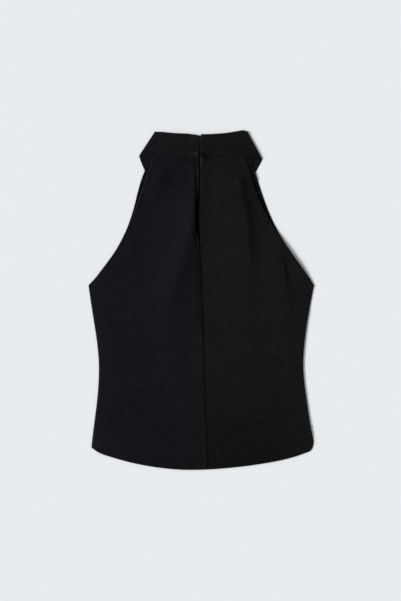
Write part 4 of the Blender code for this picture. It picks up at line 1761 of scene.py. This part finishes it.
@dataclass(kw_only=True)
class Underlap(Piece):
    """The strip under the slit's left edge, which shows between the two edges.

    Attributes:
        from_y: Its lower end.
        collar_y: Height at which it goes in under the collar, where it narrows and rises between the panels,
            over the lower hook and eye.
        to_y: Its upper end, at the stand.
        narrowed: Where above that height it is narrow.
        lifted: Where above it it is up.
        drawn_in: How far its left side stays past the left panel's edge there, and how far its right side
            draws in.
        column_pitch: About how far apart the columns of its grid are.
        width: About how wide it is.
        border: How its edges are rounded.
        tuck: How far it lies under the left panel.
        reach: How far it passes the left panel's edge, along y.
        shown: The part that rises between the two edges, as distances past the left one.
        rise: How far it rises there.
        risen_over: How far up from its lower end it comes to that.
        deeper: How much deeper it lies further down.
        beside_edge: How it comes up beside the left edge.
        flange_slope: Over what reach it goes down under the right panel.
        flange_depth: How deep it lies there, below where that panel's edge is lifted from.
        level: How light it is painted: darker than the panels, as painted shade of the gap that it lies in.
        painted_shades: Painted shade and light beside the two edges and between them: darker in the crevice
            under the right edge and in the left edge's shadow lower down, lighter beside the left edge near
            the collar.
    """

    from_y: float = 168.0
    collar_y: float = 248.2
    to_y: float = 260.6
    narrowed: Point = (0.0, 0.9)
    lifted: Point = (0.8, 1.8)
    drawn_in: Point = (0.35, 1.9)
    thickness: float = 0.8
    pitch: float = 0.9
    column_pitch: float = 0.3
    width: float = 10.0
    border: Border = Border(0.4)
    tuck: float = 2.2
    reach: SmoothLine = SmoothLine((168, 178, 192, 206, 216, 261), (0.4, 4.2, 5.5, 8, 9.9, 10.2))
    shown: Span = (5.4, 6.6, 2.0)
    rise: float = 0.4
    risen_over: float = 26.0
    deeper: Wash = Wash(0.3, y=(-FAR, 205.0, 20.0))
    beside_edge: Wash = Wash(0.8, x=(1.4, FAR, 1.2), y=(228.0, FAR, 20.0))
    flange_slope: float = 1.6
    flange_depth: float = 0.4
    level: float = 0.5
    # Painted shade and light beside the strip's edges and between them.
    painted_shades: tuple[Wash, ...] = (
        Wash(-0.7, x=(7.2, FAR, 0.8)),
        Wash(1.1, x=(-FAR, 0.6, 1.4), y=(222.0, FAR, 17.0)),
        Wash(-0.55, x=(-FAR, 3.0, 1.2), y=(-FAR, 188.0, 34.0)),
        Wash(-0.16, x=(3.8, 5.2, 0.8)),
    )
    name: str = "underlap_strip"

    @cached_property
    def shell(self) -> ClothShell:
        """The strip's cloth."""
        outline = self.lay.outline
        length = self.to_y - self.from_y
        rows = self.from_y + length * spaced(length, self.pitch, EDGE_STEPS[:6], EDGE_STEPS[:6])
        edge = outline.centre_edge_x(Side.LEFT, rows)
        narrow = rise_past(self.collar_y, self.narrowed, rows)
        tuck = self.tuck - (self.tuck + self.drawn_in[0]) * narrow
        reach = self.reach(rows) - self.drawn_in[1] * narrow
        across = spaced(self.width, self.column_pitch, EDGE_STEPS[:4], EDGE_STEPS[:4])[None, :]
        x = (edge - tuck)[:, None] + (tuck + reach)[:, None] * across
        points = np.stack([x, np.broadcast_to(rows[:, None], x.shape)], axis=-1)
        past, y = x - edge[:, None], rows[:, None]
        up = rise_past(self.collar_y, self.lifted, y)
        risen = self.rise * between(*self.shown, past) * rise_past(self.from_y, (0.0, self.risen_over), y)
        depth = self.lay.stack.gap + self.thickness / 2 + self.deeper.at(past, y)
        flange = rise_past(self.shown[1], (0.0, self.flange_slope), past)
        flange = flange * (self.lay.slit_lift + self.flange_depth)
        sunk = (risen + self.beside_edge.at(past, y) - flange - depth) * (1.0 - up) + self.thickness / 2 * up
        press = self.lay.press(points)
        middle = at_height(points, (self.lay.back_under(points) + sunk) * press)
        thickness = np.full(x.shape, self.thickness) * press
        distances = border_distances(points)
        borders = dict.fromkeys(distances, self.border)
        # The strip is painted darker than the panels, with painted shade and light beside its edges.
        tone = self.dye.tone(points, self.level * (1.0 + summed(self.painted_shades, past, y)))
        return ClothShell(middle, upright(points), thickness, points, distances, borders, tone)


@dataclass(kw_only=True)
class CollarBand(Piece):
    """The collar: one folded band from centre back round the front to centre back.

    Attributes:
        side_steps: Stations round a side fold.
        stand_shift: How far the stand's ends lie to the right of the fall's at the fold, so that they close
            its gap.
        stand_slant: How much further they lie at the stand's lower edge, where the gap is wider.
        right_end: How far the right fall's end lies off its straight line, down from the fold.
        closing_reach: How far from the centre back all that goes on.
        layer_turn: Share of the step between two layers over which the stand turns into the fall.
        edge_lean: How far the fall's free edge leans in on the back, and over what reach.
        edge_thins: Share by which that edge thins out, and over what reach.
        level: How light the dye reads on it.
        edge_shade: How it changes towards the free edge on the back.
        right_shade: How it changes right of the centre.
        right_shade_ends: Where that change is over, and where it starts to go.
        painted_light_marks: Small places painted darker or lighter: painted shade where a hook or eye draws
            the cloth in, painted highlight where it presses it up, and painted shadow under the fall's free
            edge at the right tip.
        gap_painted_light: Painted light: how much lighter the stand is painted in the gap between the fall's
            ends.
        gap_x: The gap's middle, and over what reach beside it that is so.
        gap_y: Between what heights it comes in.
        under_edge: Where the band's front half is shaded by the fall's free edge, at the right tip.
    """

    dye: Dye = Dye(blue_to_neutral=(-95.0, -40.0))
    thickness: float = 1.2
    pitch: float = 2.4
    side_steps: int = 14
    stand_shift: float = 0.9
    stand_slant: float = 1.3
    right_end: SmoothLine = SmoothLine((0, 5, 22, 27, 32, 40), (0.2, 0, 0, 0.2, 0.9, 1))
    closing_reach: float = 12.0
    layer_turn: float = 0.3
    edge_lean: Point = (0.45, 8.0)
    edge_thins: Point = (0.35, 3.5)
    level: float = 0.94
    edge_shade: Wash = Wash(-0.16, x=(-FAR, 8.0, 26.0))
    right_shade: Wash = Wash(-0.12, x=(14.0, FAR, 14.0))
    right_shade_ends: Point = (70.0, 40.0)
    # Painted shade and highlights round the hooks and eyes, and painted shadow under the fall's edge.
    painted_light_marks: tuple[Mark, ...] = tuple(
        Mark(*numbers) for numbers in (  # x, y, wide, high, change
            (5.8, 252, 4.8, 3.8, -0.95), (6.6, 246.9, 2.4, 2.4, -0.5), (13, 251, 5, 5, -0.3),
            (-9.4, 252.8, 5.4, 4.6, 1.5), (-8.8, 283.5, 4.5, 4.5, 0.4), (-0.9, 283.5, 1.9, 3.4, 2.2),
            (-4.6, 283.5, 1.8, 3.4, -0.5), (5.6, 283.5, 3, 3, -0.4), (91, 250.6, 9, 2.2, -0.5),
        )
    )
    # Painted light on the stand in the gap.
    gap_painted_light: float = 0.9
    gap_x: Point = (-3.0, 4.0)
    gap_y: Point = (255.0, 262.0)
    under_edge: Mark = Mark(85.5, 247.2, 7.5, 3.0, -0.9)
    name: str = "collar_band"

    def stations(self) -> tuple[Array, ...]:
        """Place the band's cross-sections.

        Returns:
            Their fold points, edge points, turns about the side fold, and outward directions.
        """
        collar = self.lay.collar
        halves = []
        for side in Side:
            _, _, outward = collar.side_fold(side)
            back = spaced(100.0, self.pitch, EDGE_STEPS, (0.0, 1.0))
            turn = np.linspace(0.0, math.pi, self.side_steps + 1)[1:-1]
            front = spaced(150.0, self.pitch, (0.0, 1.0), (0.0, self.pitch))
            fold_b, edge_b = collar.back_lines(side, back)
            fold_f, edge_f = collar.front_lines(side, front)
            fold = np.concatenate([fold_b, np.repeat(fold_b[-1:], len(turn), 0), fold_f])
            out = collar.bulge(side, np.zeros(len(turn))) * smoothstep(math.pi / 2, math.pi, turn)[:, None]
            edge = np.concatenate([edge_b, edge_b[-1:] + out, edge_f])
            turns = np.concatenate([np.zeros(len(back)), turn, np.full(len(front), math.pi)])
            outwards = np.repeat(outward[None], len(turns), 0)
            halves.append((fold, edge, turns, outwards))
        left, right = halves
        return tuple(np.concatenate([a, b[-2::-1]]) for a, b in zip(left, right))

    def section(self, fall: Array) -> tuple[Array, Array]:
        """Lay out the folded section.

        Args:
            fall: The fall's height at each station.

        Returns:
            Distance below the fold, and height from the middle of the fold, from the fall's free edge over
            the fold to the stand's lower edge, stations by points.
        """
        radius = self.lay.stack.step / 2
        start = radius + self.lay.stack.band / 2
        shares = spaced(40.0, 2.2, EDGE_STEPS[:7], (0.0, 1.5))
        down = fall[:, None] + (start - fall[:, None]) * shares[None, :]
        turn = math.pi / 2 - math.pi * np.linspace(0.0, 1.0, 13)[1:-1]
        round_s = np.broadcast_to(start - radius * np.cos(turn), (len(fall), len(turn)))
        round_h = np.broadcast_to(radius * np.sin(turn), round_s.shape)
        stand = self.lay.collar.stand_share * fall[:, None]
        inner = start + (stand - start) * spaced(26.0, 2.4, (0.0, 1.5), EDGE_STEPS[:6])[None, :]
        s = np.concatenate([down, round_s, inner], axis=1)
        h = np.concatenate([np.full(down.shape, radius), round_h, np.full(inner.shape, -radius)], axis=1)
        return s, h

    def lightness(self, plan: Array, from_edge: Array, is_fall: Array, on_back: Array) -> Array:
        """Level of the dye, with the painted light and shade.

        Args:
            plan: The band's points, as x and y.
            from_edge: Their distances from the fall's free edge.
            is_fall: Whether they are on the fall.
            on_back: 1 on the back and 0 on the front.

        Returns:
            The level at each point.
        """
        x, y = plan[..., 0], plan[..., 1]
        outside = is_fall * on_back
        level = self.level + self.right_shade.at(x, y) * smoothstep(*self.right_shade_ends, x)
        painted_light_marks = sum(mark.at(plan) for mark in self.painted_light_marks)
        level = level + outside * (self.edge_shade.at(from_edge, y) + painted_light_marks)
        # Painted light on the stand in the gap, and painted shadow under the fall's edge at the right tip.
        in_gap = bell(x - self.gap_x[0], self.gap_x[1]) * smoothstep(*self.gap_y, y)
        return level + self.gap_painted_light * in_gap * (1.0 - is_fall) + self.under_edge.at(plan) * (1.0 - on_back)

    def close(self, plan: Array, fold: Array, fall: Array, s: Array, h: Array) -> Array:
        """Bring the band's ends together at the centre back.

        Args:
            plan: The band's points, as x and y.
            fold: The fold's points.
            fall: The fall's height at each station.
            s: The points' distances below the fold.
            h: Their heights from the middle of the fold.

        Returns:
            The points with the ends closed.
        """
        from_right = path_length(fold[::-1, None], 0)[::-1]
        right = np.maximum(1.0 - from_right / self.closing_reach, 0.0)
        lowness = np.clip(s / (self.lay.collar.stand_share * fall[:, None]), 0.0, 1.0)
        shift = self.stand_shift + self.stand_slant * lowness
        inside = smoothstep(self.layer_turn, -self.layer_turn, h / self.lay.stack.step)
        moved = self.right_end(s) * (h > 0) * right + shift * inside * np.maximum(right, right[::-1])
        return plan + np.stack([moved, np.zeros_like(moved)], axis=-1)

    @cached_property
    def shell(self) -> ClothShell:
        """The band's cloth."""
        stack = self.lay.stack
        fold, edge, turn, outward = self.stations()
        fall = np.linalg.norm(edge - fold, axis=1)
        down = (edge - fold) / fall[:, None]
        s, h = self.section(fall)
        is_fall = h > 0
        from_edge = fall[:, None] - s
        on_back = (1 + np.cos(turn))[:, None] / 2
        lean, lean_reach = self.edge_lean
        reach = h + stack.step - lean * is_fall * bell(from_edge, lean_reach) * on_back
        plan = fold[:, None] + down[:, None] * s[..., None]
        plan = plan + outward[:, None] * (reach * np.sin(turn)[:, None])[..., None]
        plan = self.close(plan, fold, fall, s, h)
        press = self.lay.press(plan)
        sag = self.lay.neck_sag(plan) * on_back
        middle = at_height(plan, (stack.middle - sag + reach * np.cos(turn)[:, None]) * press)
        normal = unit(np.cross(np.gradient(middle, axis=1), np.gradient(middle, axis=0)))
        width = path_length(middle, 1)
        length = path_length(middle[:, :1], 0) * np.ones_like(width)
        distances = {
            "left": width,
            "right": width[:, -1:] - width,
            "bottom": length,
            "top": length[-1:] - length,
        }
        neck_seam = Border(np.where(turn > math.pi / 2, 0.25, 0.6))
        borders = {"left": Border(0.6), "right": neck_seam, "bottom": Border(1.5), "top": Border(1.5)}
        thins, thins_reach = self.edge_thins
        thickness = self.thickness * (1.0 - thins * is_fall * bell(from_edge, thins_reach)) * press
        cut = np.stack([length, width], axis=-1)
        tone = self.dye.tone(plan, self.lightness(plan, from_edge, is_fall, on_back))
        return ClothShell(middle, normal, thickness, cut, distances, borders, tone)


def path_length(points: Array, axis: int) -> Array:
    """Distance along the rows or columns of a grid from their start."""
    steps = np.linalg.norm(np.diff(points, axis=axis), axis=-1)
    pad = [(0, 0), (0, 0)]
    pad[axis] = (1, 0)
    return np.cumsum(np.pad(steps, pad), axis=axis)


# ---- Sewing ----


@dataclass(frozen=True)
class Stitch:
    """One kind of stitch.

    Attributes:
        pitch: From one stitch to the next.
        length: Length of thread that shows.
        width: The thread's width.
        height: How far it stands off the cloth.
        uneven: How much the stitches differ in size.
        seed: Seed of that unevenness.
    """

    pitch: float
    length: float
    width: float
    height: float
    uneven: float = 0.12
    seed: int = 7


class StitchMachine:
    """Sews rows of stitches along lines, with one geometry tree for all of them."""

    def __init__(self, thread: bpy.types.Material) -> None:
        """Set the machine up.

        Args:
            thread: Finish of the thread.
        """
        tree = bpy.data.node_groups.new("row_of_stitches", "GeometryNodeTree")
        face = tree.interface
        face.new_socket(name="Line", in_out="INPUT", socket_type="NodeSocketGeometry")
        sockets = {"Thread": "NodeSocketMaterial", "Seed": "NodeSocketInt"}
        sockets |= dict.fromkeys(("Pitch", "Length", "Width", "Height", "Uneven"), "NodeSocketFloat")
        self.identifiers = {
            name: face.new_socket(name=name, in_out="INPUT", socket_type=kind).identifier
            for name, kind in sockets.items()
        }
        face.new_socket(name="Stitches", in_out="OUTPUT", socket_type="NodeSocketGeometry")
        given = tree.nodes.new("NodeGroupInput").outputs
        curve = add_node(tree, "GeometryNodeMeshToCurve", Mesh=given["Line"])
        spots = add_node(
            tree, "GeometryNodeResampleCurve", {"mode": "LENGTH"},
            Curve=curve.outputs[0], Length=given["Pitch"],
        )
        bead = add_node(tree, "GeometryNodeMeshUVSphere", Segments=8, Rings=5, Radius=0.5)
        size = add_node(
            tree, "ShaderNodeCombineXYZ", X=given["Length"], Y=given["Width"], Z=given["Height"]
        )
        thread_shape = add_node(
            tree, "GeometryNodeTransform", Geometry=bead.outputs[0], Scale=size.outputs[0]
        )
        along = add_node(
            tree, "FunctionNodeAlignRotationToVector", {"axis": "X"},
            Vector=tree.nodes.new("GeometryNodeInputTangent").outputs[0],
        )
        least = add_node(tree, "ShaderNodeMath", {"operation": "SUBTRACT"}, i0=1.0, i1=given["Uneven"])
        scale = add_node(
            tree, "FunctionNodeRandomValue", {"data_type": "FLOAT"}, i2=least.outputs[0], i3=1.0,
            Seed=given["Seed"],
        )
        laid = add_node(
            tree, "GeometryNodeInstanceOnPoints", Points=spots.outputs[0], Instance=thread_shape.outputs[0],
            Rotation=along.outputs[0], Scale=scale.outputs[1],
        )
        real = add_node(tree, "GeometryNodeRealizeInstances", Geometry=laid.outputs[0])
        smooth = add_node(tree, "GeometryNodeSetShadeSmooth", Geometry=real.outputs[0])
        finished = add_node(
            tree, "GeometryNodeSetMaterial", Geometry=smooth.outputs[0], Material=given["Thread"]
        )
        tree.links.new(finished.outputs[0], tree.nodes.new("NodeGroupOutput").inputs[0])
        self.tree = tree
        self.thread = thread

    def sew(self, name: str, lines: Sequence[Array], stitch: Stitch) -> bpy.types.Object:
        """Sew stitches along lines.

        Args:
            name: The piece's name.
            lines: Each line's points.
            stitch: The kind of stitch.

        Returns:
            The stitches, as one piece.
        """
        points, edges = [], []
        for line in lines:
            first = len(points)
            points.extend((line * MM).tolist())
            edges.extend((first + i, first + i + 1) for i in range(len(line) - 1))
        guide = bpy.data.meshes.new(f"{name}_line")
        guide.from_pydata(points, edges, [])
        carrier = put_in_scene(f"{name}_line", guide)
        modifier = carrier.modifiers.new("stitches", "NODES")
        modifier.node_group = self.tree
        settings = {
            "Thread": self.thread,
            "Seed": stitch.seed,
            "Pitch": stitch.pitch * MM,
            "Length": stitch.length * MM,
            "Width": stitch.width * MM,
            "Height": stitch.height * MM,
            "Uneven": stitch.uneven,
        }
        for label, value in settings.items():
            modifier[self.identifiers[label]] = value
        graph = bpy.context.evaluated_depsgraph_get()
        mesh = bpy.data.meshes.new_from_object(carrier.evaluated_get(graph))
        mesh.name = name
        bpy.data.objects.remove(carrier)
        bpy.data.meshes.remove(guide)
        return put_in_scene(name, mesh)


@dataclass(frozen=True)
class Tacks:
    """Bar tacks through the collar, which hold the hooks and eyes inside it.

    Attributes:
        places: Middle of each tack.
        bars: Threads in each tack, side by side.
        bar_length: Length of a thread.
        bar_pitch: Distance between two threads.
        bar_points: Points that trace a thread.
        least_height: Lowest height of the fall on the back, above the stand.
        lift: How far a thread's middle lies above the face.
        name: The piece's name.
    """

    places: tuple[Point, ...] = ((-10.8, 284.1), (8.35, 284.1), (-11.7, 252.8), (9.2, 252.8))
    bars: int = 4
    bar_length: float = 3.6
    bar_pitch: float = 0.75
    bar_points: int = 5
    least_height: float = 5.2
    lift: float = 0.06
    name: str = "collar_tacks"

    def lines(self, collar: ClothShell) -> list[Array]:
        """Trace the threads on the collar's face.

        Args:
            collar: The collar's cloth.

        Returns:
            The line of each thread.
        """
        face = collar.sides[0].reshape(-1, 3)
        face = face[face[:, 2] >= self.least_height]
        found = []
        for x, y in self.places:
            for i in range(self.bars):
                across = y + (i - (self.bars - 1) / 2) * self.bar_pitch
                along = np.linspace(x - self.bar_length / 2, x + self.bar_length / 2, self.bar_points)
                plan = np.stack([along, np.full(len(along), across)], axis=1)
                square = ((face[:, None, :2] - plan) ** 2).sum(axis=-1)
                found.append(at_height(plan, face[square.argmin(axis=0), 2] + self.lift))
        return found


# ---- Studio ----


@dataclass(frozen=True)
class Studio:
    """A pale floor, one broad light from the left and a soft fill, and a camera straight overhead.

    Attributes:
        field_m: Length of floor that the picture's long side takes in.
        lens_mm: The camera's focal length.
        sensor_mm: Its sensor's long side.
        centre_mm: The place on the floor under the camera.
        key_elevation: The key light's height above the horizon, in degrees.
        key_azimuth: Direction that it comes from, in degrees from +X.
        key_spread: The light's breadth as seen from the floor, in degrees.
        key_power: Its strength.
        fill: Strength of the light from all round.
        floor: The floor's colour.
        floor_m: Its side.
        floor_gap: How far it stays below the surface that the top lies on, in mm, so that the two don't mix.
    """

    field_m: float = 1.0457
    lens_mm: float = 80.0
    sensor_mm: float = 36.0
    centre_mm: Point = (-1.2, -0.35)
    key_elevation: float = 30.0
    key_azimuth: float = 178.0
    key_spread: float = 26.0
    key_power: float = 4.18
    fill: float = 0.382
    floor: str = "E3E7EA"
    floor_m: float = 6.0
    floor_gap: float = 0.05

    def make(self) -> None:
        """Build the floor, the lights and the camera."""
        scene = bpy.context.scene
        scene.view_settings.view_transform = "Standard"
        mesh = bpy.data.meshes.new("floor")
        half = self.floor_m / 2
        corners = [(-half, -half), (half, -half), (half, half), (-half, half)]
        mesh.from_pydata([(x, y, -self.floor_gap * MM) for x, y in corners], [], [(0, 1, 2, 3)])
        paper = PlainFinish("matt_paper", self.floor, 0.9, 0.1, mottle_mm=420.0, mottle=0.004)
        mesh.materials.append(paper.make())
        floor = put_in_scene("floor", mesh)
        world = bpy.data.worlds.new("studio")
        world.use_nodes = True
        world.node_tree.nodes["Background"].inputs["Color"].default_value = (1.0, 1.0, 1.0, 1.0)
        world.node_tree.nodes["Background"].inputs["Strength"].default_value = self.fill
        scene.world = world
        light = bpy.data.lights.new("key", "SUN")
        light.energy = self.key_power
        light.angle = math.radians(self.key_spread)
        key = put_in_scene("key", light)
        elevation, azimuth = math.radians(self.key_elevation), math.radians(self.key_azimuth)
        level = math.cos(elevation)
        source = Vector((level * math.cos(azimuth), level * math.sin(azimuth), math.sin(elevation)))
        key.rotation_euler = (-source).to_track_quat("-Z", "Y").to_euler()
        key.location = source * half
        lens = bpy.data.cameras.new("overhead")
        lens.lens = self.lens_mm
        lens.sensor_width = self.sensor_mm
        lens.clip_end = 50.0
        camera = put_in_scene("overhead", lens)
        height = self.field_m * self.lens_mm / self.sensor_mm
        camera.location = (self.centre_mm[0] * MM, self.centre_mm[1] * MM, height)
        scene.camera = camera


@dataclass(frozen=True)
class Cut:
    """How a piece of cloth was cut and how it lies.

    Attributes:
        flat: Width and length of the cut, in metres.
        area: Its area, in square metres.
        held: How it lies.
        rests_on: What it lies on.
        slot: The finish's slot.
    """

    flat: Point
    area: float
    held: str = "laid"
    rests_on: tuple[str, ...] = ("front_panel",)
    slot: str = "crepe_knit"


WIRES = ("hook_top", "eye_top", "hook_bottom", "eye_bottom")


def main() -> None:
    """Build every piece and put it on its body."""
    logging.basicConfig(level=logging.INFO, format="%(name)s: %(message)s")
    face, inside, wire, thread = Wardrobe().make()
    lay = Lay()
    Studio().make()
    left, right = (BackPanel(lay=lay, side=side, name=f"back_{side.value}_panel") for side in Side)
    front = FrontPanel(lay=lay)
    collar = CollarBand(lay=lay)
    cloth = {
        "back_left": left,
        "back_right": right,
        "front": front,
        "underlap": Underlap(lay=lay),
        "collar": collar,
    }
    machine = StitchMachine(thread)
    hem_stitch = Stitch(pitch=2.7, length=2.2, width=0.42, height=0.3)
    sewing = {
        "back_left": machine.sew("back_left_hem_stitches", left.needle_lines(), hem_stitch),
        "back_right": machine.sew("back_right_hem_stitches", right.needle_lines(), hem_stitch),
        "front": machine.sew("front_hem_stitches", front.needle_lines(), hem_stitch),
        "collar": machine.sew(Tacks.name, Tacks().lines(collar.shell), Stitch(1.2, 1.5, 0.45, 0.3)),
    }
    for node, part in cloth.items():
        outward, inward = {"front": (inside, face), "collar": (face, face)}.get(node, (face, inside))
        piece = part.shell.make(part.name, outward, inward)
        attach(piece, BODY)
        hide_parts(node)
        stitches = sewing.get(node)
        if stitches:
            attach(stitches, BODY)
            log.info("%s: %d faces", stitches.name, len(stitches.data.polygons))
        log.info("%s: %d faces", piece.name, len(piece.data.polygons))
    for name in WIRES:
        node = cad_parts[name]
        node.data.materials.clear()
        node.data.materials.append(wire)
        log.info("%s keeps its solid", name)


if __name__ == "__main__":
    main()
